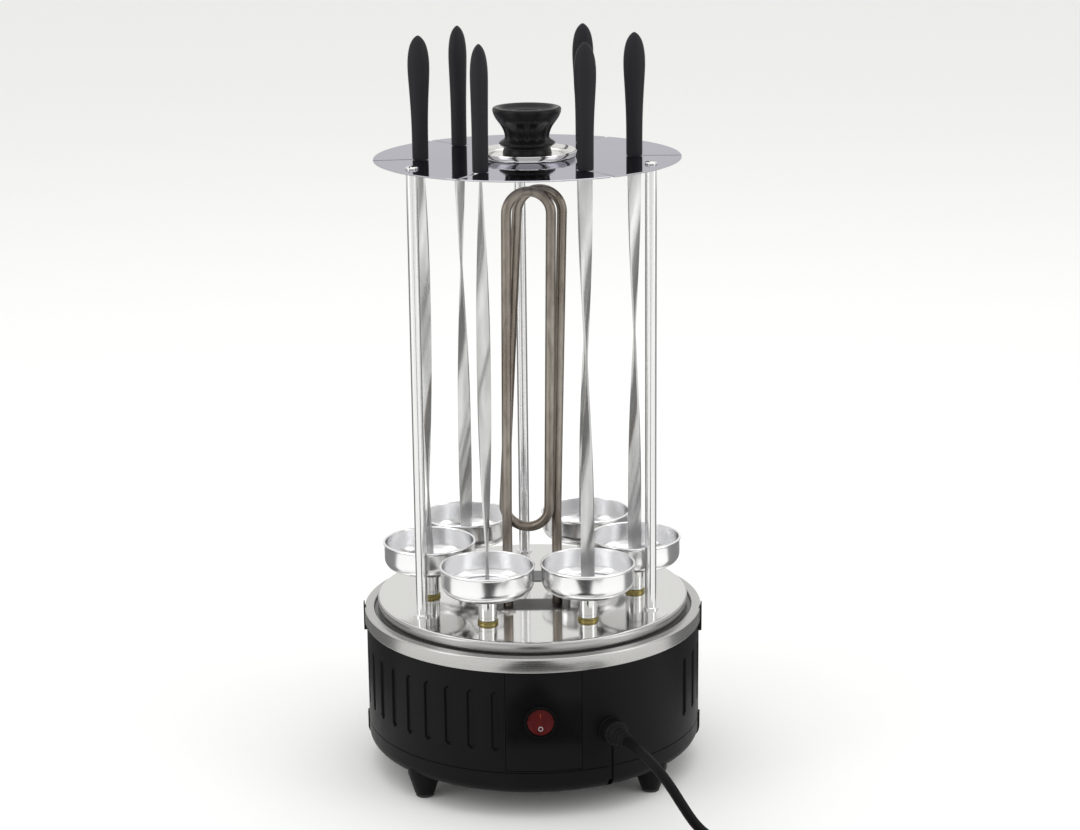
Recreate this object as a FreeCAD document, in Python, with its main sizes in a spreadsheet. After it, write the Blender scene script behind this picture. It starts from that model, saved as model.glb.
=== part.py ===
"""Electric skewer grill: a drum base with a geared drive, six turning spindles with
drip cups and twisted skewers, a central tube heater and a top disc on three rods.

Frame: millimetres, +Z up, origin on the table under the middle of the base.
Plan angles are counted from the front (-Y) towards the right (+X).
"""
import FreeCAD, Part
import math
import os

import Sketcher
from FreeCAD import Placement, Rotation, Vector

doc = FreeCAD.newDocument("skewer_grill")

# ---------------------------------------------------------------- driving sizes
DRIVING_SIZES = {
    # feet and case, from the table up
    "pad_height": 2.0, "pad_radius": 6.2, "foot_height": 15.0,
    "foot_top_radius": 11.5, "foot_bottom_radius": 6.8, "foot_skirt": 5.0,
    "foot_inset": 11.7, "foot_spread": 47.5, "base_turn": 1.65,
    "case_radius": 118.7, "case_wall": 2.5, "pan_height": 16.8,
    "pan_edge_round": 8.0, "pan_floor": 2.5, "spigot_height": 4.2,
    "seam_gap": 0.6, "fit_gap": 0.2, "side_height": 81.4,
    "ledge_depth": 7.0, "ledge_height": 4.0, "ledge_drop": 13.2,
    "boss_radius": 5.5, "boss_height": 20.0, "boss_gap": 0.4, "rib_width": 4.0,
    "screw_sink": 4.0, "screw_reach": 16.0, "vent_count": 12, "vent_half_width": 2.5,
    "vent_inner": 46.0, "vent_outer": 78.0,
    "flute_width": 5.4, "flute_height": 43.4, "flute_depth": 1.3,
    "flute_middle": 36.2, "flute_pitch": 8.372, "first_flute": -12.8, "flute_count": 35,
    # front panel, switch and cable outlet
    "panel_left": -9.5, "panel_right": 16.0, "panel_foot": 1.0, "panel_head": 8.6,
    "panel_gap": 0.25, "switch_turn": 2.1, "switch_height": 70.7,
    "bezel_radius": 11.4, "bezel_height": 1.8, "barrel_radius": 10.4,
    "barrel_depth": 17.0, "rocker_bore": 9.3, "rocker_radius": 9.0,
    "rocker_well": 8.0, "rocker_tilt": 7.0, "rocker_pin": 1.0, "pin_clearance": 0.05,
    "gland_turn": 26.1, "gland_height": 59.8, "gland_radius": 9.8,
    "gland_flange": 1.4, "gland_barrel": 8.9, "gland_barrel_length": 8.6,
    "gland_round": 2.6, "gland_reach": 24.0, "gland_neck": 6.2,
    "cord_slot": 3.6, "cord_slot_foot": 1.6, "tongue_gap": 0.1, "tongue_foot": 6.0,
    "tongue_sink": 1.2, "tongue_thick": 2.0,
    # bright trim ring, clips and deck
    "ring_overhang": 1.3, "ring_sheet": 0.8, "ring_band": 10.0,
    "ring_flange": 12.0, "ring_round": 0.8, "groove_width": 2.6, "groove_depth": 2.0,
    "clip_width": 6.0, "clip_proud": 0.8, "clip_height": 20.0, "clip_over": 2.0,
    "left_clip_turn": -88.4, "right_clip_turn": 83.5, "lug_proud": 1.1, "lug_foot": 1.6,
    "lug_top": 18.6,
    "deck_inset": 9.6, "deck_rise": 7.7, "deck_sheet": 0.8, "deck_round": 2.4,
    # what the deck carries
    "top_turn": 3.5, "spindle_circle": 73.0, "front_left_turn": -25.0,
    "front_right_turn": 31.5, "right_turn": 88.0, "back_right_turn": 147.0,
    "back_left_turn": -139.0, "left_turn": -83.5,
    "post_radius": 6.5, "post_height": 21.5, "spigot_radius": 5.9,
    "cup_lock": 7.0, "journal_radius": 4.0, "running_gap": 0.05,
    "bush_collar": 7.2, "bush_collar_height": 2.2, "bush_barrel": 6.6,
    "bush_depth": 6.0, "socket_depth": 20.0,
    "cup_radius": 32.8, "cup_depth": 20.0, "cup_wall": 0.9,
    "cup_round": 8.5, "cup_rim": 0.8, "cup_gap": 0.1, "cup_neck": 5.5,
    # gears under the deck
    "plate_thick": 2.0, "plate_bore": 24.0,
    "collar_height": 13.0, "collar_wall": 3.9,
    "gear_lift": 2.0, "gear_face": 8.0, "gear_play": 0.3,
    "drive_teeth": 40, "spindle_teeth": 20, "pinion_teeth": 12,
    "tooth_share": 0.46, "tooth_root_share": 0.62, "tooth_tip_share": 0.22,
    "gear_bore_gap": 0.08, "gear_seat": 5.5, "gear_hub_wall": 4.5,
    "drive_window": 4.2, "motor_radius": 21.0, "motor_height": 20.0,
    "motor_shaft": 3.0, "motor_ear": 26.0,
    # heater
    "tube_radius": 3.5, "heater_top": 288.8, "heater_bend": 48.0,
    "heater_depth": 4.5, "heater_rise": 15.5, "leg_left": -17.3, "arch_front_left": -15.1,
    "arch_front_right": 15.7, "bend_right": 12.5, "bend_left": -19.3,
    "arch_back_left": -7.6, "arch_back_right": 23.4, "leg_right": 17.9,
    "leg_below": 34.0, "bridge_height": 10.0, "bridge_sheet": 1.2,
    "bridge_length": 54.0, "bridge_width": 22.0, "bridge_foot": 8.0,
    "nut_radius": 6.0, "nut_height": 4.0,
    # rods, top disc and knob
    "rod_radius": 4.0, "rod_circle": 92.0, "rod_spread": 60.0,
    "rod_collar": 5.6, "rod_collar_height": 1.6, "rod_stud": 3.0,
    "disc_radius": 105.25, "disc_sheet": 1.0, "disc_height": 312.4,
    "disc_hole": 6.0, "disc_slot": 3.0, "screw_head": 4.3, "screw_head_height": 2.2,
    "screw_shank": 2.0, "screw_length": 12.0,
    "dish_radius": 34.0, "dish_floor": 29.5, "dish_rise": 4.4, "dish_sheet": 0.8,
    "knob_foot": 16.9, "knob_waist": 15.9, "knob_flange": 19.2, "knob_neck": 15.3,
    "knob_rim": 23.6, "knob_height": 34.0, "knob_flute": 1.5,
    # skewers
    "blade_width": 9.4, "blade_thick": 1.5, "blade_twist": 190.0,
    "tang_length": 26.0, "tip_length": 12.0, "handle_sink": 0.5,
    "handle_length": 84.1, "handle_wide": 7.5, "handle_thin": 6.0,
    "handle_neck": 5.55, "handle_neck_thin": 5.4, "tang_clearance": 0.1,
    # cord put away in a coil
    "cord_radius": 3.5, "coil_radius": 38.5, "coil_width": 14.6, "coil_height": 15.0,
    "tie_width": 12.0, "tie_sheet": 1.2, "plug_length": 36.0, "plug_width": 26.0,
    "plug_thick": 16.0, "pin_radius": 2.4, "pin_length": 19.0, "pin_spacing": 19.0,
}

sheet = doc.addObject("Spreadsheet::Sheet", "sizes")
for row, (name, number) in enumerate(DRIVING_SIZES.items(), start=1):
    sheet.set(f"A{row}", name)
    sheet.set(f"B{row}", str(number))
    sheet.setAlias(f"B{row}", name)
doc.recompute()


class Size:
    """A number together with the sheet formula that gives it."""

    def __init__(self, value, text):
        self.value = float(value)
        self.text = text

    def __add__(self, other):
        other = as_size(other)
        return Size(self.value + other.value, f"({self.text} + {other.text})")

    def __sub__(self, other):
        other = as_size(other)
        return Size(self.value - other.value, f"({self.text} - {other.text})")

    def __mul__(self, other):
        other = as_size(other)
        return Size(self.value * other.value, f"({self.text} * {other.text})")

    def __truediv__(self, other):
        other = as_size(other)
        return Size(self.value / other.value, f"({self.text} / {other.text})")

    def __rsub__(self, other):
        return as_size(other) - self

    def __neg__(self):
        return Size(-self.value, f"(0 - {self.text})")

    __radd__ = __add__
    __rmul__ = __mul__


def as_size(number):
    """A plain number as a Size, and a Size as it is."""
    return number if isinstance(number, Size) else Size(number, repr(float(number)))


def driving(name):
    """The Size of one cell of the sheet."""
    return Size(sheet.get(name), f"sizes.{name}")


def sine(angle):
    return Size(math.sin(math.radians(angle.value)), f"sin({angle.text})")


def cosine(angle):
    return Size(math.cos(math.radians(angle.value)), f"cos({angle.text})")


class Sizes:
    """The driving sizes by name, and the levels that follow from them."""

    def __getattr__(self, name):
        return driving(name)


S = Sizes()

# levels, from the table up
PAN_BOTTOM = S.pad_height + S.foot_height
SEAM = PAN_BOTTOM + S.pan_height
CASE_TOP = SEAM + S.side_height
FLANGE_TOP = CASE_TOP + S.ring_sheet
DECK_TOP = FLANGE_TOP + S.deck_rise
DECK_UNDER = DECK_TOP - S.deck_sheet
LEDGE_TOP = CASE_TOP - S.ledge_drop
PLATE_TOP = LEDGE_TOP + S.plate_thick
GEAR_BOTTOM = PLATE_TOP + S.gear_lift
GEAR_TOP = GEAR_BOTTOM + S.gear_face
POST_TOP = DECK_TOP + S.post_height
DISC_TOP = DECK_TOP + S.disc_height
DISC_UNDER = DISC_TOP - S.disc_sheet
CASE_INNER = S.case_radius - S.case_wall
FOOT_CIRCLE = S.case_radius - S.foot_inset
RING_RADIUS = S.case_radius + S.ring_overhang
DECK_RADIUS = RING_RADIUS - S.deck_inset
LIP_TOP = FLANGE_TOP - S.groove_depth
SOCKET_FLOOR = POST_TOP + S.cup_lock - S.socket_depth
HANDLE_FOOT = DISC_TOP - S.handle_sink
CUP_RIM_TOP = POST_TOP + S.cup_depth
GEAR_MODULE = 2 * S.spindle_circle / (S.drive_teeth + S.spindle_teeth)
MOTOR_CIRCLE = GEAR_MODULE * (S.drive_teeth + S.pinion_teeth) / 2
MOTOR_TURN = 180 + (S.back_right_turn + S.back_left_turn) / 2

CUP_TURNS = [S.front_left_turn, S.front_right_turn, S.right_turn,
             S.back_right_turn, S.back_left_turn, S.left_turn]
SKEWER_TURNS = [90.0, 0.0, 4.0, -6.0, 33.0, 113.0]
HANDLE_TURNS = [90.0, 0.0, 4.0, -6.0, 60.0, 178.0]
ROD_TURNS = [S.top_turn - S.rod_spread, S.top_turn + S.rod_spread, S.top_turn + 180]
FOOT_TURNS = [
    S.base_turn - S.foot_spread, S.base_turn + S.foot_spread,
    S.base_turn + 180 - S.foot_spread, S.base_turn + 180 + S.foot_spread,
]
nodes = []


# ---------------------------------------------------------------- helpers
def bind(thing, prop, size):
    """Set a property and tie it to the sheet."""
    size = as_size(size)
    if "." not in prop:
        setattr(thing, prop, size.value)
    thing.setExpression(prop, size.text)


def put(thing, x=0, y=0, z=0, rotation=None):
    """Place an object, its base point tied to the sheet."""
    x, y, z = as_size(x), as_size(y), as_size(z)
    spin = rotation or Rotation()
    thing.Placement = Placement(Vector(x.value, y.value, z.value), spin)
    for axis, size in zip("xyz", (x, y, z)):
        thing.setExpression(f"Placement.Base.{axis}", size.text)
    return thing


def plan_x(radius, turn):
    return radius * sine(turn)


def plan_y(radius, turn):
    return -(radius * cosine(turn))


def put_round(thing, radius, turn, z=0, spin=0.0):
    """Place on a circle about the middle axis, turned with the circle plus a spin."""
    turned = Rotation(Vector(0, 0, 1), turn.value + spin)
    return put(thing, plan_x(radius, turn), plan_y(radius, turn), z, turned)


def put_outward(thing, radius, turn, z, tilt=0.0):
    """Place with local +Z pointing straight out of the case and local +Y up."""
    facing = Rotation(Vector(0, 0, 1), turn.value) * Rotation(Vector(1, 0, 0), 90 + tilt)
    return put(thing, plan_x(radius, turn), plan_y(radius, turn), z, facing)


def cylinder(name, radius, bottom, top):
    thing = doc.addObject("Part::Cylinder", name)
    bind(thing, "Radius", radius)
    bind(thing, "Height", as_size(top) - bottom)
    return put(thing, z=bottom)


def cone(name, bottom_radius, top_radius, bottom, top):
    thing = doc.addObject("Part::Cone", name)
    bind(thing, "Radius1", bottom_radius)
    bind(thing, "Radius2", top_radius)
    bind(thing, "Height", as_size(top) - bottom)
    return put(thing, z=bottom)


def block(name, x_low, x_high, y_low, y_high, z_low, z_high):
    thing = doc.addObject("Part::Box", name)
    bind(thing, "Length", as_size(x_high) - x_low)
    bind(thing, "Width", as_size(y_high) - y_low)
    bind(thing, "Height", as_size(z_high) - z_low)
    return put(thing, x_low, y_low, z_low)


def cut(name, base, tools):
    """The base less every tool."""
    thing = doc.addObject("Part::Cut", name)
    thing.Base = base
    thing.Tool = tools[0] if len(tools) == 1 else group(name + "_tools", tools)
    return thing


def group(name, pieces):
    thing = doc.addObject("Part::Compound", name)
    thing.Links = pieces
    return thing


def fuse(name, pieces):
    thing = doc.addObject("Part::MultiFuse", name)
    thing.Shapes = pieces
    thing.Refine = True
    return thing


def common(name, first, second):
    thing = doc.addObject("Part::Common", name)
    thing.Base = first
    thing.Tool = second
    return thing


def plane_of(body, role):
    """One of a body's own origin planes."""
    return next(item for item in body.Origin.OriginFeatures if item.Role == role)


def draw_outline(sketch, corners):
    """Draw a closed outline; a corner is (x, y) or (x, y, radius).

    A radius makes the run from that corner to the next an arc: centre on the left of
    the run where it is positive, on the right where it is negative.
    """
    count = len(corners)
    starts = []
    for index, corner in enumerate(corners):
        following = corners[(index + 1) % count]
        a = Vector(as_size(corner[0]).value, as_size(corner[1]).value, 0)
        b = Vector(as_size(following[0]).value, as_size(following[1]).value, 0)
        if len(corner) == 2:
            sketch.addGeometry(Part.LineSegment(a, b), False)
            starts.append((1, 2))
            continue
        radius = as_size(corner[2])
        half = (b - a) * 0.5
        rise = math.sqrt(max(radius.value ** 2 - half.Length ** 2, 0.0))
        left = Vector(-half.y, half.x, 0).normalize()
        left_side = radius.value > 0
        centre = a + half + left * (rise if left_side else -rise)
        first, last = (a, b) if left_side else (b, a)
        angle_1 = math.atan2(first.y - centre.y, first.x - centre.x)
        angle_2 = math.atan2(last.y - centre.y, last.x - centre.x)
        circle = Part.Circle(centre, Vector(0, 0, 1), abs(radius.value))
        sketch.addGeometry(Part.ArcOfCircle(circle, angle_1, angle_2), False)
        starts.append((1, 2) if left_side else (2, 1))
        size = radius if left_side else -radius
        number = sketch.addConstraint(Sketcher.Constraint("Radius", index, size.value))
        sketch.setExpression(f"Constraints[{number}]", size.text)
    for index, corner in enumerate(corners):
        before = (index - 1) % count
        end, start = starts[before][1], starts[index][0]
        sketch.addConstraint(Sketcher.Constraint("Coincident", before, end, index, start))
        fix_point(sketch, index, start, corner[0], corner[1])


def fix_point(sketch, geometry, vertex, x, y):
    """Hold a sketch point at its two sizes from the origin."""
    for kind, size, axis in (("DistanceX", as_size(x), -2), ("DistanceY", as_size(y), -1)):
        if abs(size.value) < 1e-9:
            sketch.addConstraint(Sketcher.Constraint("PointOnObject", geometry, vertex, axis))
            continue
        number = sketch.addConstraint(
            Sketcher.Constraint(kind, -1, 1, geometry, vertex, size.value))
        sketch.setExpression(f"Constraints[{number}]", size.text)


def sketched_body(name, corners, role):
    body = doc.addObject("PartDesign::Body", name)
    sketch = body.newObject("Sketcher::SketchObject", name + "_outline")
    sketch.AttachmentSupport = [(plane_of(body, role), "")]
    sketch.MapMode = "FlatFace"
    draw_outline(sketch, corners)
    return body, sketch


def turned(name, corners, sweep=None):
    """A body turned about Z from an outline of (radius, height) corners.

    With a sweep it is a sector centred on +X.
    """
    body, sketch = sketched_body(name, corners, "XZ_Plane")
    feature = body.newObject("PartDesign::Revolution", name + "_turned")
    feature.Profile = sketch
    feature.ReferenceAxis = (sketch, ["V_Axis"])
    if sweep is None:
        feature.Angle = 360
    else:
        feature.Midplane = True
        bind(feature, "Angle", sweep)
    return body


def padded(name, corners, bottom, top):
    """A body raised from an outline of (x, y) corners between two levels."""
    body, sketch = sketched_body(name, corners, "XY_Plane")
    feature = body.newObject("PartDesign::Pad", name + "_raised")
    feature.Profile = sketch
    bind(feature, "Length", as_size(top) - bottom)
    return put(body, z=bottom)


def sector(name, inner, outer, bottom, top, turn, sweep):
    """A piece of a round wall, centred on a plan angle."""
    outline = [(inner, bottom), (outer, bottom), (outer, top), (inner, top)]
    return outline_sector(name, outline, turn, sweep)


def outline_sector(name, outline, turn, sweep):
    """An outline turned through a sweep that is centred on a plan angle."""
    body = turned(name, outline, sweep)
    facing = Rotation(Vector(0, 0, 1), turn.value - 90)
    body.Placement = Placement(Vector(), facing)
    return body


def node(name, thing):
    """Keep a finished sub-part under its own name."""
    thing.Label = name
    nodes.append(thing)
    return thing


def copies(name, pattern, places):
    """One solid per place: the pattern moved by each place's own function."""
    pieces = []
    for index, place in enumerate(places, start=1):
        piece = group(f"{name}_at_{index}", [pattern])
        place(piece)
        pieces.append(piece)
    return group(name, pieces)


def shape_feature(name, shape):
    """A feature for a form that no stock object makes."""
    thing = doc.addObject("Part::Feature", name)
    thing.Shape = shape
    return thing


def pipe_solid(wire, radius):
    """A round bar along a smooth wire."""
    edge = wire.OrderedEdges[0]
    start = edge.valueAt(edge.FirstParameter)
    along = edge.tangentAt(edge.FirstParameter)
    section = Part.Wire(Part.makeCircle(radius, start, along))
    sweep = Part.BRepOffsetAPI.MakePipeShell(wire)
    sweep.setFrenetMode(False)
    sweep.add(section, False, False)
    sweep.build()
    sweep.makeSolid()
    return sweep.shape()


# ---------------------------------------------------------------- case and feet
def pan_edge(proud=0):
    """The corners of the pan's rounded lower edge, or of a line outside it."""
    return [(S.case_radius - S.pan_edge_round, PAN_BOTTOM - proud, S.pan_edge_round + proud),
            (S.case_radius + proud, PAN_BOTTOM + S.pan_edge_round)]


def make_feet():
    """Four conical feet with skirts that follow the pan's edge, their pads and screws."""
    hole = S.screw_shank
    counterbore = S.screw_head
    head_top = PAN_BOTTOM - S.screw_sink
    skirt_top = PAN_BOTTOM + S.foot_skirt
    seat = put(turned("foot_seat", [
        (0, PAN_BOTTOM), *pan_edge(), (S.case_radius, skirt_top + S.pan_edge_round),
        (0, skirt_top + S.pan_edge_round)]), 0, FOOT_CIRCLE, 0)
    foot = cut("foot_pattern", fuse("foot_form", [
        cone("foot_cone", S.foot_bottom_radius, S.foot_top_radius, S.pad_height, PAN_BOTTOM),
        cylinder("foot_skirt_round", S.foot_top_radius, PAN_BOTTOM, skirt_top)]), [
        seat, cylinder("foot_hole", hole, 0, PAN_BOTTOM + 1),
        cylinder("foot_counterbore", counterbore, 0, head_top)])
    pad = cut("pad_pattern", cylinder("pad_round", S.pad_radius, 0, S.pad_height), [
        cylinder("pad_hole", counterbore, -1, S.pad_height + 1)])
    screw = fuse("case_screw_pattern", [
        cylinder("case_screw_head", S.screw_head - 0.6, head_top - S.screw_head_height, head_top),
        cylinder("case_screw_shank", hole - 0.15, head_top, SEAM + S.spigot_height + S.screw_reach)])
    for name, pattern in (("feet", foot), ("foot_pads", pad), ("case_screws", screw)):
        places = [lambda piece, t=turn: put_round(piece, FOOT_CIRCLE, t)
                  for turn in FOOT_TURNS]
        node(name, copies(name, pattern, places))


def cord_slot_tool(name):
    """The cutter for the slot that lets the cord drop in from below."""
    half = S.cord_slot / 2
    tool = block(name, -half, half, -(S.case_radius + 2), -(CASE_INNER - 6),
                 PAN_BOTTOM + S.cord_slot_foot, S.gland_height)
    return turn_about_middle(tool, S.gland_turn)


def turn_about_middle(thing, turn):
    """Turn a piece that is already placed at the front round to a plan angle."""
    spin = Placement(Vector(), Rotation(Vector(0, 0, 1), turn.value))
    return put_placed(thing, spin.multiply(thing.Placement))


def put_placed(thing, placement):
    for axis in "xyz":
        thing.setExpression(f"Placement.Base.{axis}", None)
    thing.Placement = placement
    return thing


def make_bottom_pan():
    """The moulded pan: rounded lower edge, spigot into the case, vents in the floor."""
    spigot_outer = CASE_INNER - S.fit_gap
    spigot_inner = spigot_outer - S.case_wall + S.fit_gap
    floor_top = PAN_BOTTOM + S.pan_floor
    land = S.case_radius - 1
    shell = turned("pan_shell", [
        (0, PAN_BOTTOM), *pan_edge(), (S.case_radius, SEAM - S.seam_gap),
        (land, SEAM - S.seam_gap), (land, SEAM), (spigot_outer, SEAM),
        (spigot_outer, SEAM + S.spigot_height), (spigot_inner, SEAM + S.spigot_height),
        (spigot_inner, floor_top), (0, floor_top)])
    tools = [cord_slot_tool("pan_cord_slot")]
    for index, turn in enumerate(FOOT_TURNS, start=1):
        hole = cylinder(f"pan_screw_hole_{index}", S.screw_shank, PAN_BOTTOM - 1, floor_top + 1)
        tools.append(put_round(hole, FOOT_CIRCLE, turn, PAN_BOTTOM - 1))
    half, count = S.vent_half_width, int(DRIVING_SIZES["vent_count"])
    for index in range(count):
        vent = block(f"pan_vent_{index}", -half, half, -S.vent_outer, -S.vent_inner,
                     PAN_BOTTOM - 1, floor_top + 1)
        tools.append(turn_about_middle(vent, as_size(360 * index / count)))
    node("bottom_pan", cut("bottom_pan", shell, tools))


def make_side_housing():
    """The drum wall: ledge for the bearing plate, screw bosses, flutes and openings."""
    ledge_inner = CASE_INNER - S.ledge_depth
    ledge_foot = LEDGE_TOP - S.ledge_height
    shell = turned("housing_shell", [
        (CASE_INNER, SEAM), (S.case_radius, SEAM), (S.case_radius, CASE_TOP),
        (CASE_INNER, CASE_TOP), (CASE_INNER, LEDGE_TOP), (ledge_inner, LEDGE_TOP),
        (ledge_inner, ledge_foot), (CASE_INNER, ledge_foot - S.ledge_depth)])
    pieces = [shell]
    boss_foot = SEAM + S.spigot_height + S.boss_gap
    boss_top = boss_foot + S.boss_height
    half_rib = S.rib_width / 2
    for index, turn in enumerate(FOOT_TURNS, start=1):
        boss = cylinder(f"boss_{index}", S.boss_radius, boss_foot, boss_top)
        pieces.append(put_round(boss, FOOT_CIRCLE, turn, boss_foot))
        rib = block(f"boss_rib_{index}", -half_rib, half_rib, -(CASE_INNER + 1),
                    -FOOT_CIRCLE, boss_foot, boss_top)
        pieces.append(turn_about_middle(rib, turn))
    solid = fuse("housing_solid", pieces)
    tools = [cord_slot_tool("housing_cord_slot"), panel_opening(), gland_hole()]
    for index, turn in enumerate(FOOT_TURNS, start=1):
        hole = cylinder(f"boss_hole_{index}", S.screw_shank - 0.1, boss_foot - 1, boss_top + 1)
        tools.append(put_round(hole, FOOT_CIRCLE, turn, boss_foot - 1))
    tools += flutes()
    node("side_housing", cut("side_housing", solid, tools))


def panel_opening():
    middle = (S.panel_left + S.panel_right) / 2
    return sector("panel_opening", CASE_INNER - 0.4, S.case_radius + 1, SEAM + S.panel_foot,
                  CASE_TOP - S.panel_head, middle, S.panel_right - S.panel_left)


def gland_hole():
    hole = cylinder("gland_hole", S.gland_neck + 0.1, -12, 4)
    return put_outward(hole, S.case_radius - 12, S.gland_turn, S.gland_height)


def flutes():
    """Upright flutes round the case, all but the front panel and the cord side."""
    middle = SEAM + S.flute_middle
    low, high = middle - S.flute_height / 2, middle + S.flute_height / 2
    half = S.flute_width / 2
    tools = []
    for index in range(int(DRIVING_SIZES["flute_count"])):
        flute = block(f"flute_{index}", -half, half, -(S.case_radius + 2),
                      -(S.case_radius - S.flute_depth), low, high)
        tools.append(turn_about_middle(flute, S.first_flute - index * S.flute_pitch))
    return tools


def make_switch_panel():
    """The smooth front panel, let into the drum wall, with the round switch hole."""
    gap_turn = S.panel_gap * 180 / (math.pi * S.case_radius)
    middle = (S.panel_left + S.panel_right) / 2
    sweep = S.panel_right - S.panel_left - 2 * gap_turn
    plate = sector("panel_plate", CASE_INNER, S.case_radius,
                   SEAM + S.panel_foot + S.panel_gap,
                   CASE_TOP - S.panel_head - S.panel_gap, middle, sweep)
    hole = cylinder("panel_hole", S.barrel_radius + 0.1, -8, 4)
    put_outward(hole, S.case_radius - 8, S.switch_turn, S.switch_height)
    node("switch_panel", cut("switch_panel", plate, [hole]))


def make_switch():
    """A round rocker switch: bezel and barrel in one, and the rocker on its two pins."""
    body = turned("switch_turning", [
        (0, -S.barrel_depth), (S.barrel_radius, -S.barrel_depth), (S.barrel_radius, 0),
        (S.bezel_radius, 0), (S.bezel_radius, S.bezel_height - 0.7),
        (S.bezel_radius - 0.7, S.bezel_height), (S.rocker_bore + 0.4, S.bezel_height),
        (S.rocker_bore, S.bezel_height - 0.4), (S.rocker_bore, -S.rocker_well),
        (0, -S.rocker_well)])
    back = -S.barrel_depth
    blades = [block(f"switch_blade_{n}", -3.1, 3.1, side - 0.4, side + 0.4, back - 8, back + 1)
              for n, side in enumerate((-5.0, 5.0))]
    pins = across("switch_pin_holes", S.rocker_pin + S.pin_clearance, S.barrel_radius + 1)
    whole = cut("switch_assembly", fuse("switch_with_blades", [body] + blades), [pins])
    placed = group("switch_body", [whole])
    node("switch_body", put_outward(placed, S.case_radius, S.switch_turn, S.switch_height))

    rise = 0.6
    reach = S.rocker_radius + 1
    edge_rise = rise + reach * math.tan(math.radians(DRIVING_SIZES["rocker_tilt"]))
    wedge = padded("rocker_wedge", [
        (-reach, -5), (reach, -5), (reach, edge_rise), (0, rise), (-reach, edge_rise)],
        -reach, reach)
    put(wedge, x=-reach, rotation=Rotation(Vector(1, 1, 1), 120))
    ball = doc.addObject("Part::Sphere", "rocker_ball")
    bind(ball, "Radius", S.rocker_radius)
    rocker = fuse("rocker_solid", [
        common("rocker_cap", ball, wedge),
        across("rocker_pins", S.rocker_pin, S.barrel_radius - 0.3)])
    placed = group("switch_rocker", [rocker])
    tilt = -DRIVING_SIZES["rocker_tilt"]
    node("switch_rocker",
         put_outward(placed, S.case_radius, S.switch_turn, S.switch_height, tilt))


def across(name, radius, reach):
    """A bar along local X through the origin."""
    bar = cylinder(name, radius, -reach, reach)
    return put(bar, x=-reach, rotation=Rotation(Vector(0, 1, 0), 90))


# ---------------------------------------------------------------- ring, clips and deck
def make_trim_ring():
    """The bright ring over the top edge of the case, stepped down to carry the lid."""
    edge = RING_RADIUS
    step = DECK_RADIUS + S.groove_width
    band_foot = FLANGE_TOP - S.ring_band
    node("trim_ring", turned("trim_ring", [
        (edge - S.ring_sheet, band_foot), (edge, band_foot),
        (edge, FLANGE_TOP - S.ring_round, S.ring_round), (edge - S.ring_round, FLANGE_TOP),
        (step, FLANGE_TOP), (step, LIP_TOP), (edge - S.ring_flange, LIP_TOP),
        (edge - S.ring_flange, LIP_TOP - S.ring_sheet), (step + S.ring_sheet,
                                                         LIP_TOP - S.ring_sheet),
        (step + S.ring_sheet, CASE_TOP), (edge - S.ring_sheet, CASE_TOP)]))


def make_side_clips():
    """Black clips that hold the ring down, and the lugs on the pan's edge below them."""
    outer = RING_RADIUS + S.clip_proud
    sweep = S.clip_width * 180 / (math.pi * RING_RADIUS)
    top = FLANGE_TOP + S.clip_over
    foot = top - S.clip_height
    lug_top = PAN_BOTTOM + S.lug_top
    lug_line = pan_edge(S.lug_proud) + [
        (S.case_radius + S.lug_proud, lug_top), (S.case_radius, lug_top),
        (S.case_radius, PAN_BOTTOM + S.pan_edge_round, -S.pan_edge_round),
        (S.case_radius - S.pan_edge_round, PAN_BOTTOM)]
    pieces = []
    for side, turn in (("left", S.left_clip_turn), ("right", S.right_clip_turn)):
        pieces.append(fuse(f"ring_clip_{side}", [
            sector(f"clip_root_{side}", S.case_radius, outer, foot,
                   FLANGE_TOP - S.ring_band - 0.1, turn, sweep),
            sector(f"clip_tongue_{side}", RING_RADIUS + 0.1, outer, foot, top, turn, sweep)]))
        pieces.append(common(
            f"pan_lug_{side}", outline_sector(f"lug_shell_{side}", lug_line, turn, sweep),
            cylinder(f"lug_reach_{side}", S.case_radius + 2 * S.lug_proud,
                     PAN_BOTTOM + S.lug_foot, lug_top)))
    node("side_clips", group("side_clips", pieces))


def make_deck_plate():
    """The polished lid with its rolled edge, pierced for posts, rods and heater."""
    edge, sheet_thick, curve = DECK_RADIUS, S.deck_sheet, S.deck_round
    lid = turned("deck_pressing", [
        (0, DECK_UNDER), (edge - curve, DECK_UNDER, -(curve - sheet_thick)),
        (edge - sheet_thick, DECK_TOP - curve), (edge - sheet_thick, LIP_TOP),
        (edge, LIP_TOP), (edge, DECK_TOP - curve, curve), (edge - curve, DECK_TOP),
        (0, DECK_TOP)])
    low, high = DECK_UNDER - 1, DECK_TOP + 1
    tools = []
    for index, turn in enumerate(CUP_TURNS, start=1):
        hole = cylinder(f"bush_hole_{index}", S.bush_barrel + 0.05, low, high)
        tools.append(put_round(hole, S.spindle_circle, turn, low))
    for index, turn in enumerate(ROD_TURNS, start=1):
        hole = cylinder(f"deck_rod_hole_{index}", S.rod_radius + 0.05, low, high)
        tools.append(put_round(hole, S.rod_circle, turn, low))
    for side, x, y in heater_legs():
        hole = cylinder(f"deck_leg_hole_{side}", S.tube_radius + 0.5, low, high)
        tools.append(put(hole, x, y, low))
    node("deck_plate", cut("deck_plate", lid, tools))


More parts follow.
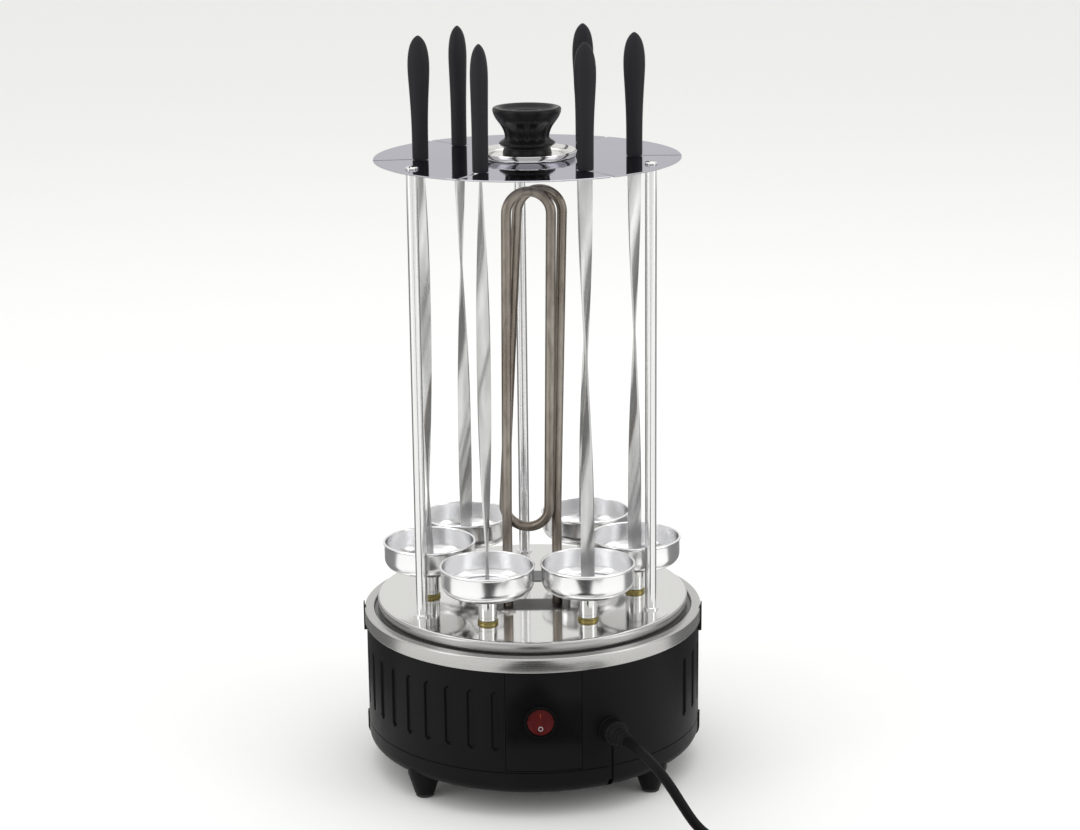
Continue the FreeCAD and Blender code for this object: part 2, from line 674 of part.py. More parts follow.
def make_bearing_plate():
    """The steel plate under the gears, with the collar that the drive gear turns on."""
    collar = S.plate_bore + S.collar_wall
    plate = turned("plate_turning", [
        (S.plate_bore, LEDGE_TOP), (CASE_INNER - S.fit_gap, LEDGE_TOP),
        (CASE_INNER - S.fit_gap, PLATE_TOP), (collar, PLATE_TOP),
        (collar, PLATE_TOP + S.collar_height), (S.plate_bore, PLATE_TOP + S.collar_height)])
    low, high = LEDGE_TOP - 1, PLATE_TOP + 1
    tools = []
    for index, turn in enumerate(CUP_TURNS, start=1):
        hole = cylinder(f"journal_hole_{index}", S.journal_radius + S.running_gap, low, high)
        tools.append(put_round(hole, S.spindle_circle, turn, low))
    for index, turn in enumerate(ROD_TURNS, start=1):
        hole = cylinder(f"stud_hole_{index}", S.rod_stud + 0.05, low, high)
        tools.append(put_round(hole, S.rod_circle, turn, low))
    shaft = cylinder("shaft_hole", S.motor_shaft + 0.5, low, high)
    tools.append(put_round(shaft, MOTOR_CIRCLE, MOTOR_TURN, low))
    node("bearing_plate", cut("bearing_plate", plate, tools))


# ---------------------------------------------------------------- gears and motor
def gear_outline(teeth, start_turn):
    """A closed wire of straight-sided teeth; the first tooth points at start_turn."""
    pitch = GEAR_MODULE.value * teeth / 2
    root, tip = pitch - 1.25 * GEAR_MODULE.value, pitch + GEAR_MODULE.value
    flank = ((root, DRIVING_SIZES["tooth_root_share"]), (pitch, DRIVING_SIZES["tooth_share"]),
             (tip, DRIVING_SIZES["tooth_tip_share"]))
    step = 2 * math.pi / teeth
    points = []
    for tooth in range(teeth):
        middle = math.radians(start_turn) + tooth * step
        for radius, half in flank:
            points.append((radius, middle - half * step / 2))
        for radius, half in reversed(flank):
            points.append((radius, middle + half * step / 2))
    corners = [Vector(r * math.cos(a), r * math.sin(a), 0) for r, a in points]
    return Part.makePolygon(corners + [corners[0]])


def gear_blank(name, teeth, start_turn, bore, bottom, top):
    """A toothed disc with a bore, raised between two levels."""
    ring = Part.Face(gear_outline(teeth, start_turn))
    solid = ring.extrude(Vector(0, 0, (top - bottom).value))
    solid.translate(Vector(0, 0, bottom.value))
    hole = Part.makeCylinder(bore.value, (top - bottom).value + 2,
                             Vector(0, 0, bottom.value - 1))
    return shape_feature(name, solid.cut(hole))


def tube_piece(name, inner, outer, bottom, top):
    return turned(name, [(inner, bottom), (outer, bottom), (outer, top), (inner, top)])


def make_drive_gear():
    """The big ring gear, running on the collar, with six holes through its web."""
    teeth = int(DRIVING_SIZES["drive_teeth"])
    bore = S.plate_bore + S.collar_wall + S.gear_bore_gap
    rim = gear_blank("drive_rim", teeth, 0.0, bore, GEAR_BOTTOM, GEAR_TOP)
    hub = tube_piece("drive_hub", bore, bore + S.gear_hub_wall, PLATE_TOP + S.gear_play,
                     GEAR_TOP + 1)
    windows = []
    middle = bore + S.gear_hub_wall + S.drive_window + 1.5
    for index in range(6):
        hole = cylinder(f"drive_window_{index}", S.drive_window, GEAR_BOTTOM - 1, GEAR_TOP + 1)
        windows.append(put_round(hole, middle, as_size(60 * index), GEAR_BOTTOM - 1))
    solid = fuse("drive_solid", [rim, hub])
    node("drive_gear", cut("drive_gear", solid, windows))


def mesh_turn(centre_turn, teeth):
    """The turn that sets a gear's teeth in the gaps of the drive gear."""
    angle = centre_turn.value - 90
    drive = DRIVING_SIZES["drive_teeth"]
    return angle + 180 - 180 / teeth + angle * drive / teeth


def make_spindle_gears():
    teeth = int(DRIVING_SIZES["spindle_teeth"])
    bore = S.gear_seat + 0.02
    rim = gear_blank("spindle_rim", teeth, 0.0, bore, GEAR_BOTTOM, GEAR_TOP)
    hub = tube_piece("spindle_hub", bore, bore + S.gear_hub_wall, PLATE_TOP + S.gear_play,
                     GEAR_BOTTOM + 1)
    pattern = fuse("spindle_gear_pattern", [rim, hub])
    for index, turn in enumerate(CUP_TURNS, start=1):
        gear = group(f"spindle_gear_{index}", [pattern])
        put_round(gear, S.spindle_circle, turn, spin=mesh_turn(turn, teeth) - turn.value)
        node(f"spindle_gear_{index}", gear)


def make_motor():
    """The small gearmotor under the plate, and its pinion with the output shaft."""
    body_foot = LEDGE_TOP - S.motor_height
    can = cylinder("motor_can", S.motor_radius, body_foot, LEDGE_TOP)
    ears = block("motor_ears", -S.motor_ear, S.motor_ear, -4.5, 4.5, LEDGE_TOP - 2, LEDGE_TOP)
    ends = [cylinder(f"motor_ear_end_{n}", 4.5, LEDGE_TOP - 2, LEDGE_TOP) for n in (1, 2)]
    put(ends[0], -S.motor_ear, 0, LEDGE_TOP - 2)
    put(ends[1], S.motor_ear, 0, LEDGE_TOP - 2)
    bore = cylinder("motor_bore", S.motor_shaft + S.running_gap, LEDGE_TOP - 10, LEDGE_TOP + 1)
    whole = cut("motor_solid", fuse("motor_body", [can, ears] + ends), [bore])
    motor = group("gearmotor", [whole])
    node("gearmotor", put_round(motor, MOTOR_CIRCLE, MOTOR_TURN))

    teeth = int(DRIVING_SIZES["pinion_teeth"])
    rim = gear_blank("pinion_rim", teeth, 0.0, S.motor_shaft - 0.5,
                     GEAR_BOTTOM - 0.5, GEAR_TOP + 0.5)
    shaft = cylinder("pinion_shaft", S.motor_shaft, LEDGE_TOP - 9.7, GEAR_TOP + 1.5)
    pinion = group("motor_pinion", [fuse("pinion_solid", [rim, shaft])])
    put_round(pinion, MOTOR_CIRCLE, MOTOR_TURN,
              spin=mesh_turn(MOTOR_TURN, teeth) - MOTOR_TURN.value)
    node("motor_pinion", pinion)


# ---------------------------------------------------------------- spindles and cups
def make_bushes():
    """Brass bushes in the deck, one at each spindle, with a collar on top."""
    inner = S.gear_seat + S.running_gap
    top = DECK_TOP + S.bush_collar_height
    pattern = turned("bush_pattern", [
        (inner, DECK_TOP - S.bush_depth), (S.bush_barrel, DECK_TOP - S.bush_depth),
        (S.bush_barrel, DECK_TOP), (S.bush_collar, DECK_TOP), (S.bush_collar, top - 0.5),
        (S.bush_collar - 0.5, top), (inner, top)])
    places = [lambda piece, t=turn: put_round(piece, S.spindle_circle, t)
              for turn in CUP_TURNS]
    node("spindle_bushes", copies("spindle_bushes", pattern, places))


def make_spindles():
    """Turned posts: journal, gear seat, bright post and the cup's spigot, with a socket."""
    seat_foot = PLATE_TOP + S.gear_play
    post_foot = DECK_TOP + S.bush_collar_height + S.running_gap
    top = POST_TOP + S.cup_lock
    post = turned("spindle_turning", [
        (0, LEDGE_TOP - 1.5), (S.journal_radius, LEDGE_TOP - 1.5),
        (S.journal_radius, seat_foot), (S.gear_seat, seat_foot), (S.gear_seat, post_foot),
        (S.post_radius, post_foot), (S.post_radius, POST_TOP), (S.spigot_radius, POST_TOP),
        (S.spigot_radius, top), (0, top)])
    half_wide = S.blade_width / 2 + 0.3
    half_thick = S.blade_thick / 2 + 0.35
    slot = block("socket_slot", -half_wide, half_wide, -half_thick, half_thick,
                 SOCKET_FLOOR, top + 1)
    pattern = cut("spindle_pattern", post, [slot])
    twist = DRIVING_SIZES["blade_twist"]
    for index, turn in enumerate(CUP_TURNS, start=1):
        spindle = group(f"spindle_{index}", [pattern])
        spin = SKEWER_TURNS[index - 1] + twist - turn.value
        node(f"spindle_{index}", put_round(spindle, S.spindle_circle, turn, spin=spin))


def make_cups():
    """Drip cups: a pressed bowl with a rolled rim and a neck that fits the spigot."""
    wall, curve = S.cup_wall, S.cup_round
    side = S.cup_radius - S.cup_rim
    bore = S.spigot_radius + S.cup_gap
    foot, top = POST_TOP, CUP_RIM_TOP
    pattern = turned("cup_pattern", [
        (bore, foot), (side - curve, foot, curve), (side, foot + curve), (side, top - 2),
        (S.cup_radius, top - 1.4), (S.cup_radius, top - 0.5), (S.cup_radius - 0.5, top),
        (side - wall, top), (side - wall, foot + curve, -(curve - wall)),
        (side - curve, foot + wall), (bore + wall, foot + wall),
        (bore + wall, foot + S.cup_neck), (bore, foot + S.cup_neck)])
    for index, turn in enumerate(CUP_TURNS, start=1):
        cup = group(f"cup_{index}", [pattern])
        node(f"cup_{index}", put_round(cup, S.spindle_circle, turn))


# ---------------------------------------------------------------- skewers
def rectangle_wire(width, thick, height, turn):
    """A flat bar's section at a height, turned about Z."""
    corners = [Vector(x * width / 2, y * thick / 2, 0)
               for x, y in ((-1, -1), (1, -1), (1, 1), (-1, 1))]
    spin = Placement(Vector(0, 0, height), Rotation(Vector(0, 0, 1), turn))
    corners = [spin.multVec(corner) for corner in corners]
    return Part.makePolygon(corners + [corners[0]])


def make_blades():
    """Flat skewer blades: point in the socket, one slow twist, and the tang."""
    width, thick = DRIVING_SIZES["blade_width"], DRIVING_SIZES["blade_thick"]
    twist = DRIVING_SIZES["blade_twist"]
    point_foot = SOCKET_FLOOR.value + 0.3
    twist_foot = (POST_TOP + S.cup_lock).value + 4
    twist_top = HANDLE_FOOT.value
    sections = []
    for share in [step / 10 for step in range(11)]:
        height = twist_foot + share * (twist_top - twist_foot)
        sections.append(rectangle_wire(width, thick, height, twist * (1 - share)))
    twisted = Part.makeLoft(sections, True, False)
    tang = Part.makeBox(width, thick, DRIVING_SIZES["tang_length"],
                        Vector(-width / 2, -thick / 2, twist_top))
    shoulder = point_foot + DRIVING_SIZES["tip_length"]
    outline = [Vector(-1, 0, point_foot), Vector(1, 0, point_foot),
               Vector(width / 2, 0, shoulder), Vector(width / 2, 0, twist_foot),
               Vector(-width / 2, 0, twist_foot), Vector(-width / 2, 0, shoulder)]
    point = Part.Face(Part.makePolygon(outline + [outline[0]])).extrude(Vector(0, thick, 0))
    point.translate(Vector(0, -thick / 2, 0))
    point.rotate(Vector(), Vector(0, 0, 1), twist)
    pattern = shape_feature("blade_pattern", twisted.fuse([tang, point]).removeSplitter())
    for index, turn in enumerate(CUP_TURNS, start=1):
        blade = group(f"skewer_blade_{index}", [pattern])
        spin = SKEWER_TURNS[index - 1] - turn.value
        node(f"skewer_blade_{index}", put_round(blade, S.spindle_circle, turn, spin=spin))


def ellipse_wire(wide, thin, height):
    return Part.Wire(Part.Ellipse(
        Vector(wide, 0, height), Vector(0, thin, height), Vector(0, 0, height)).toShape())


# The handle's form: share of its length, share of the swell, share of that width.
HANDLE_FORM = [
    (0.0, 0.0, 1.0), (0.2, 0.0, 1.0), (0.34, 0.1, 1.0), (0.47, 0.34, 1.0), (0.6, 0.68, 1.0),
    (0.7, 0.95, 1.0), (0.78, 1.0, 1.0), (0.845, 1.0, 0.94), (0.895, 1.0, 0.84),
    (0.94, 1.0, 0.68), (0.972, 1.0, 0.45), (1.0, 1.0, 0.1),
]


def make_handles():
    """Moulded handles: a straight grip that swells near the top to a soft point."""
    foot = HANDLE_FOOT.value
    length = DRIVING_SIZES["handle_length"]
    wide, thin = DRIVING_SIZES["handle_wide"], DRIVING_SIZES["handle_thin"]
    neck, neck_thin = DRIVING_SIZES["handle_neck"], DRIVING_SIZES["handle_neck_thin"]
    sections = [ellipse_wire((neck + (wide - neck) * swell) * taper,
                             (neck_thin + (thin - neck_thin) * swell) * taper,
                             foot + share * length)
                for share, swell, taper in HANDLE_FORM]
    grip = Part.makeLoft(sections, True, False)
    gap = DRIVING_SIZES["tang_clearance"]
    width, thick = DRIVING_SIZES["blade_width"] + 2 * gap, DRIVING_SIZES["blade_thick"] + 2 * gap
    pocket = Part.makeBox(width, thick, DRIVING_SIZES["tang_length"] + gap + 1,
                          Vector(-width / 2, -thick / 2, foot - 1))
    for index, turn in enumerate(CUP_TURNS, start=1):
        skewer_turn = SKEWER_TURNS[index - 1]
        form = grip.copy()
        form.rotate(Vector(), Vector(0, 0, 1), HANDLE_TURNS[index - 1] - skewer_turn)
        pattern = shape_feature(f"handle_form_{index}", form.cut(pocket))
        handle = group(f"skewer_handle_{index}", [pattern])
        node(f"skewer_handle_{index}",
             put_round(handle, S.spindle_circle, turn, spin=skewer_turn - turn.value))


# ---------------------------------------------------------------- heater
def heater_legs():
    """The two places where the heater passes the deck."""
    return [("left", S.leg_left, -S.heater_depth), ("right", S.leg_right, S.heater_depth)]


def two_arcs(start, start_way, end, end_way):
    """Two arcs that join two straight runs smoothly."""
    chord = end - start
    ways = start_way + end_way
    a = 2 * (1 - start_way.dot(end_way))
    b = 2 * chord.dot(ways)
    reach = (-b + math.sqrt(b * b + 4 * a * chord.dot(chord))) / (2 * a)
    first, second = start + start_way * reach, end - end_way * reach
    middle = (first + second) * 0.5
    edges = []
    for point, corner, other in ((start, first, middle), (middle, second, end)):
        into, out = (corner - point).normalize(), (other - corner).normalize()
        half_turn = math.acos(max(-1.0, min(1.0, into.dot(out)))) / 2
        inward = (out - into).normalize()
        radius = reach / math.tan(half_turn)
        centre = corner + inward * (radius / math.cos(half_turn))
        crown = centre - inward * radius
        edges.append(Part.Arc(point, crown, other).toShape())
    return edges


def make_heater():
    """One tube wound once and a half: up, over, down, under, up, over and down."""
    deck = DECK_TOP.value
    depth = DRIVING_SIZES["heater_depth"]
    top_axis = deck + DRIVING_SIZES["heater_top"]
    bend_axis = deck + DRIVING_SIZES["heater_bend"]
    rise = DRIVING_SIZES["heater_rise"]
    high, low = top_axis - rise, bend_axis + rise
    bottom = deck - DRIVING_SIZES["leg_below"]
    place = {name: DRIVING_SIZES[name] for name in (
        "leg_left", "arch_front_left", "arch_front_right", "bend_right", "bend_left",
        "arch_back_left", "arch_back_right", "leg_right")}
    front, back = -depth, depth
    straights = [
        (Vector(place["leg_left"], front, low), Vector(place["arch_front_left"], front, high)),
        (Vector(place["arch_front_right"], front, high), Vector(place["bend_right"], front, low)),
        (Vector(place["bend_left"], back, low), Vector(place["arch_back_left"], back, high)),
        (Vector(place["arch_back_right"], back, high), Vector(place["leg_right"], back, low)),
    ]
    down = Vector(0, 0, -1)
    foot_left = Vector(place["leg_left"], front, low)
    edges = [Part.LineSegment(Vector(foot_left.x, front, bottom), foot_left).toShape()]
    for index, (start, end) in enumerate(straights):
        edges.append(Part.LineSegment(start, end).toShape())
        if index < 3:
            following = straights[index + 1]
            edges += two_arcs(end, (end - start).normalize(), following[0],
                              (following[1] - following[0]).normalize())
    foot_right = straights[3][1]
    edges.append(Part.LineSegment(foot_right, Vector(foot_right.x, back, bottom)).toShape())
    tube = pipe_solid(Part.Wire(edges), DRIVING_SIZES["tube_radius"])
    pins = [Part.makeCylinder(1.4, 9, Vector(x.value, y.value, bottom), down)
            for _, x, y in heater_legs()]
    node("heater_tube", shape_feature("heater_tube", tube.fuse(pins)))


def make_heater_bridge():
    """A bent strap on the deck that carries the heater, and a hexagon nut on each leg."""
    half = S.bridge_length / 2
    side = S.bridge_width / 2
    strap = S.bridge_sheet
    top = DECK_TOP + S.bridge_height
    pieces = [block("bridge_top", -half, half, -side, side, top, top + strap)]
    for name, sign in (("left", -1), ("right", 1)):
        inner, outer = sign * (half - strap), sign * half
        far = sign * (half + S.bridge_foot)
        low, high = (inner, outer) if sign > 0 else (outer, inner)
        pieces.append(block(f"bridge_wall_{name}", low, high, -side, side, DECK_TOP, top + strap))
        low, high = (outer, far) if sign > 0 else (far, outer)
        pieces.append(block(f"bridge_foot_{name}", low, high, -side, side,
                            DECK_TOP, DECK_TOP + strap))
    holes = []
    for name, x, y in heater_legs():
        hole = cylinder(f"bridge_hole_{name}", S.tube_radius + 0.2, top - 1, top + strap + 1)
        holes.append(put(hole, x, y, top - 1))
    node("heater_bridge", cut("heater_bridge", fuse("bridge_bent", pieces), holes))

    nut = doc.addObject("Part::Prism", "nut_hexagon")
    nut.Polygon = 6
    bind(nut, "Circumradius", S.nut_radius)
    bind(nut, "Height", S.nut_height)
    bore = cylinder("nut_bore", S.tube_radius + 0.02, -1, S.nut_height + 1)
    pattern = cut("nut_pattern", nut, [bore])
    places = [lambda piece, spot=(x, y): put(piece, spot[0], spot[1], top + strap)
              for _, x, y in heater_legs()]
    node("heater_nuts", copies("heater_nuts", pattern, places))


def make_terminal_block():
    """The connector block on the pan floor where cord and heater leads meet."""
    floor = PAN_BOTTOM + S.pan_floor
    base = block("terminal_base", 16, 60, 20, 36, floor, floor + 12)
    towers = []
    for index in range(3):
        tower = cylinder(f"terminal_tower_{index}", 5.0, floor, floor + 17)
        towers.append(put(tower, 24 + 14 * index, 28, floor))
    screws = []
    for index in range(3):
        hole = cylinder(f"terminal_hole_{index}", 2.2, floor + 8, floor + 18)
        screws.append(put(hole, 24 + 14 * index, 28, floor + 8))
    node("terminal_block", cut("terminal_block", fuse("terminal_solid", [base] + towers), screws))


# ---------------------------------------------------------------- rods, disc and knob
def make_rods():
    """Three bright rods from the bearing plate to the top disc, riveted at the foot."""
    rivet = LEDGE_TOP - 2
    rod = fuse("rod_bar", [
        cylinder("rod_long", S.rod_radius, PLATE_TOP, DISC_UNDER),
        cylinder("rod_collar", S.rod_collar, DECK_TOP, DECK_TOP + S.rod_collar_height),
        cylinder("rod_stud", S.rod_stud, rivet, PLATE_TOP),
        cylinder("rod_rivet", S.rod_collar, rivet, LEDGE_TOP)])
    tapped = cylinder("rod_tapped", S.screw_shank + 0.05, DISC_UNDER - S.screw_length - 1,
                      DISC_UNDER + 1)
    pattern = cut("rod_pattern", rod, [tapped])
    places = [lambda piece, t=turn: put_round(piece, S.rod_circle, t) for turn in ROD_TURNS]
    node("support_rods", copies("support_rods", pattern, places))


def make_top_disc():
    """The polished disc with a round hole and an open slot for each skewer."""
    low, high = DISC_UNDER - 1, DISC_TOP + 1
    plate = cylinder("disc_plate", S.disc_radius, DISC_UNDER, DISC_TOP)
    tools = [cylinder("knob_screw_hole", S.screw_shank + 0.6, low, high)]
    half = S.disc_slot / 2
    for index, turn in enumerate(CUP_TURNS, start=1):
        hole = cylinder(f"skewer_hole_{index}", S.disc_hole, low, high)
        tools.append(put_round(hole, S.spindle_circle, turn, low))
        slot = block(f"skewer_slot_{index}", -half, half, -(S.disc_radius + 2),
                     -S.spindle_circle, low, high)
        tools.append(turn_about_middle(slot, turn))
    for index, turn in enumerate(ROD_TURNS, start=1):
        hole = cylinder(f"disc_screw_hole_{index}", S.screw_shank + 0.1, low, high)
        tools.append(put_round(hole, S.rod_circle, turn, low))
    node("top_disc", cut("top_disc", plate, tools))


def make_disc_screws():
    """Three domed screws into the rods, and the knob's screw from below."""
    head = S.screw_head
    rise = S.screw_head_height
    pattern = turned("screw_pattern", [
        (0, DISC_TOP - S.screw_length), (S.screw_shank, DISC_TOP - S.screw_length),
        (S.screw_shank, DISC_TOP), (head, DISC_TOP), (head, DISC_TOP + rise * 0.45),
        (head * 0.7, DISC_TOP + rise * 0.9), (0, DISC_TOP + rise)])
    slot = block("screw_slot", -0.5, 0.5, -(head + 1), head + 1,
                 DISC_TOP + rise * 0.45, DISC_TOP + rise + 1)
    slotted = cut("screw_slotted", pattern, [slot])
    pieces = []
    for index, turn in enumerate(ROD_TURNS, start=1):
        screw = group(f"disc_screw_{index}", [slotted])
        pieces.append(put_round(screw, S.rod_circle, turn))
    pieces.append(fuse("knob_screw", [
        cylinder("knob_screw_head", head, DISC_UNDER - rise, DISC_UNDER),
        cylinder("knob_screw_shank", S.screw_shank + 0.5, DISC_UNDER - 0.5, DISC_TOP + 14)]))
    node("disc_screws", group("disc_screws", pieces))


def make_knob_and_dish():
    """The bright dish on the disc and the moulded knob that stands in it."""
    floor = DISC_TOP + S.dish_sheet
    node("knob_dish", turned("knob_dish", [
        (S.screw_shank + 0.7, DISC_TOP), (S.dish_floor, DISC_TOP),
        (S.dish_radius, DISC_TOP + S.dish_rise),
        (S.dish_radius - 0.9, DISC_TOP + S.dish_rise + 0.25),
        (S.dish_floor - 0.4, floor), (S.screw_shank + 0.7, floor)]))
    bore = S.screw_shank + 0.55
    crown = DISC_TOP + S.knob_height
    form = turned("knob_turning", [
        (bore, floor), (S.knob_foot, floor), (S.knob_foot, DISC_TOP + 3.6),
        (S.knob_waist, DISC_TOP + 5.2), (S.knob_waist, DISC_TOP + 6.8),
        (S.knob_flange, DISC_TOP + 8.6), (S.knob_flange, DISC_TOP + 9.9),
        (S.knob_neck, DISC_TOP + 12.4), (S.knob_neck + 0.6, DISC_TOP + 15, -40),
        (S.knob_rim - 1.4, DISC_TOP + 25), (S.knob_rim, crown - 1.6, 1.6),
        (S.knob_rim - 1.6, crown), (S.knob_rim - 3.4, crown),
        (S.knob_rim - 6.6, crown - 3), (12, crown - 3.6), (11, crown - 2.8),
        (9.5, crown - 2.8), (8.5, crown - 3.8), (0, crown - 4.2), (0, DISC_TOP + 15),
        (bore, DISC_TOP + 15)])
    grooves = []
    for index in range(14):
        groove = cylinder(f"knob_flute_{index}", S.knob_flute, DISC_TOP + 10.6, DISC_TOP + 23)
        grooves.append(put_round(groove, S.knob_neck + 1.3, as_size(index * 360 / 14),
                                 DISC_TOP + 10.6))
    node("knob", cut("knob", form, grooves))


# ---------------------------------------------------------------- cord
# The cord's route, chosen by hand: out of the gland, down to the table, off to the coil.
# X and Y are counted from the gland's tip, Z from the table.
CORD_ROUTE = [
    (9.0, -18.3, 58.2), (15.0, -25.7, 54.6), (21.2, -31.5, 48.8), (27.4, -35.7, 41.0),
    (34.6, -39.1, 29.6), (42.0, -41.3, 18.4), (49.8, -42.7, 10.8), (59.0, -43.9, 5.7),
    (68.9, -45.3, 3.5), (79.1, -49.0, 3.5), (87.8, -55.8, 3.5), (94.1, -64.8, 3.5),
    (97.5, -75.3, 3.5), (98.0, -85.3, 3.5),
]
COIL_OFFSET = (56.0, -102.1)


def gland_tip():
    """The end of the gland's nose, where the cord leaves it."""
    turn = math.radians(DRIVING_SIZES["gland_turn"])
    reach = (S.case_radius + S.gland_reach).value
    return Vector(reach * math.sin(turn), -reach * math.cos(turn),
                  DRIVING_SIZES["gland_height"])


def coil_middle():
    """The middle of the put-away coil, on the table."""
    tip = gland_tip()
    return Vector(tip.x + COIL_OFFSET[0], tip.y + COIL_OFFSET[1], 0)


def make_gland():
    """The cord's strain relief: barrel and nose, and the tongue that closes the slot."""
    reach = S.gland_reach
    barrel_top = S.gland_flange + S.gland_barrel_length
    form = turned("gland_turning", [
        (0, -4), (S.gland_neck, -4), (S.gland_neck, 0), (S.gland_radius, 0),
        (S.gland_radius, S.gland_flange), (S.gland_barrel, S.gland_flange),
        (S.gland_barrel, barrel_top - S.gland_round, S.gland_round),
        (S.gland_barrel - S.gland_round, barrel_top), (S.cord_radius + 1, reach), (0, reach)])
    half = S.cord_slot / 2 - S.tongue_gap
    tongue = block("gland_tongue", -half, half, PAN_BOTTOM + S.tongue_foot - S.gland_height,
                   -S.gland_neck / 2, -S.tongue_sink - S.tongue_thick, -S.tongue_sink)
    placed = group("cord_gland", [fuse("gland_solid", [form, tongue])])
    node("cord_gland", put_outward(placed, S.case_radius, S.gland_turn, S.gland_height))


def smooth_wire(points):
    """Straight runs joined by arcs as large as each pair of runs allows."""
    edges, radii = [], []
    last = points[0]
    for before, corner, after in zip(points, points[1:], points[2:]):
        into, out = corner - before, after - corner
        reach = 0.45 * min(into.Length, out.Length)
        into.normalize()
        out.normalize()
        half_turn = math.acos(max(-1.0, min(1.0, into.dot(out)))) / 2
        radius = reach / math.tan(half_turn)
        inward = (out - into).normalize()
        crown = corner + inward * (radius / math.cos(half_turn) - radius)
        start, end = corner - into * reach, corner + out * reach
        edges.append(Part.LineSegment(last, start).toShape())
        edges.append(Part.Arc(start, crown, end).toShape())
        radii.append(radius)
        last = end
    edges.append(Part.LineSegment(last, points[-1]).toShape())
    return Part.Wire(edges), radii


def make_cord():
    """The loose stretch of the cord, from the gland's tip to the coil."""
    tip = gland_tip()
    outward = Vector(tip.x, tip.y, 0).normalize()
    points = [tip, tip + outward * 10.5] + [
        Vector(tip.x + x, tip.y + y, z) for x, y, z in CORD_ROUTE]
    wire, radii = smooth_wire(points)
    print("cord radii mm:", " ".join(f"{radius:.0f}" for radius in radii))
    radius = DRIVING_SIZES["cord_radius"]
    tube = pipe_solid(wire, radius)
    expected = math.pi * radius ** 2 * wire.Length
    print(f"cord length {wire.Length:.1f} mm, volume ratio {tube.Volume / expected:.4f}")
    node("cord", shape_feature("cord", tube))


def make_coil_and_tie():
    """The put-away cord as one ring, held by a tie that passes round it."""
    inner = S.coil_radius - S.coil_width / 2
    outer = S.coil_radius + S.coil_width / 2
    sheet_thick = S.tie_sheet
    ring = tube_piece("coil_ring", inner, outer, 0, S.coil_height)
    half = S.tie_width / 2
    slack = 0.1
    band_in, band_out = inner - 0.4, outer + 0.4
    wide = block("tie_gap", -band_out, -band_in, -half - slack, half + slack,
                 -1, S.coil_height + 1)
    waist = block("coil_waist", sheet_thick + slack - band_out, -(band_in + sheet_thick + slack),
                  -half - 1, half + 1, sheet_thick + slack,
                  S.coil_height - sheet_thick - slack)
    coil = group("cord_coil", [fuse("coil_solid", [cut("coil_gapped", ring, [wide]), waist])])
    coil.Placement = Placement(coil_middle(), Rotation())
    node("cord_coil", coil)
    band = block("tie_band", -band_out, -band_in, -half, half, 0, S.coil_height)
    window = block("tie_window", sheet_thick - band_out, -(band_in + sheet_thick),
                   -half - 1, half + 1, sheet_thick, S.coil_height - sheet_thick)
    tie = group("cord_tie", [cut("tie_solid", band, [window])])
    tie.Placement = Placement(coil_middle(), Rotation())
    node("cord_tie", tie)


def make_plug():
    """A two-pin plug on the table beside the coil."""
    half_wide, half_thick = S.plug_width / 2, S.plug_thick / 2
    body = block("plug_body", 18, 18 + S.plug_length, -half_wide, half_wide,
                 -half_thick, half_thick)
    relief = cone("plug_relief", S.cord_radius + 1, 6.6, 0, 18.5)
    put(relief, rotation=Rotation(Vector(0, 1, 0), 90))
    pins = []
    for name, sign in (("a", -1), ("b", 1)):
        pin = cylinder(f"plug_pin_{name}", S.pin_radius, 0, S.pin_length + 1)
        put(pin, 17 + S.plug_length, sign * S.pin_spacing / 2, 0,
            Rotation(Vector(0, 1, 0), 90))
        pins.append(pin)
    plug = group("plug", [fuse("plug_solid", [body, relief] + pins)])
    outer = (S.coil_radius + S.coil_width / 2).value
    lane = (S.coil_radius + S.cord_radius).value
    entry = math.sqrt(outer ** 2 - lane ** 2) - 1.0
    spot = coil_middle() + Vector(-entry, -lane, half_thick.value)
    plug.Placement = Placement(spot, Rotation(Vector(0, 0, 1), 180))
    node("plug", plug)


# ---------------------------------------------------------------- build and write
def main():
    for make in (make_feet, make_bottom_pan, make_side_housing, make_switch_panel,
                 make_switch, make_trim_ring, make_side_clips, make_deck_plate,
                 make_bearing_plate, make_drive_gear, make_spindle_gears, make_motor,
                 make_bushes, make_spindles, make_cups, make_blades, make_handles,
                 make_heater, make_heater_bridge, make_terminal_block, make_rods,
                 make_top_disc, make_disc_screws, make_knob_and_dish, make_gland,
                 make_cord, make_coil_and_tie, make_plug):
        make()
    doc.recompute()
    for thing in doc.Objects:
        if "Invalid" in thing.State or "Error" in thing.State:
            raise RuntimeError(f"{thing.Name} failed: {thing.State}")
    for thing in nodes:
        if thing.Shape.isNull() or not thing.Shape.isValid() or not thing.Shape.Solids:
            raise RuntimeError(f"{thing.Label} has no sound solid")
    os.makedirs("parts", exist_ok=True)
    for thing in nodes:
        thing.Shape.exportStep(f"parts/{thing.Label}.step")
    print(f"{len(nodes)} nodes written")


main()
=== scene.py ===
"""Dressed scene of an upright electric skewer grill.

Sizes inside the classes are millimetres and degrees. Blender objects are in metres, +Z up,
with the switch facing -Y. Plan angles count from the front (-Y) towards the right (+X).
"""
from __future__ import annotations

import logging
import math
from dataclasses import dataclass, field
from enum import Enum
from typing import Callable, Iterable, Sequence

import bpy
from mathutils import Matrix, Vector


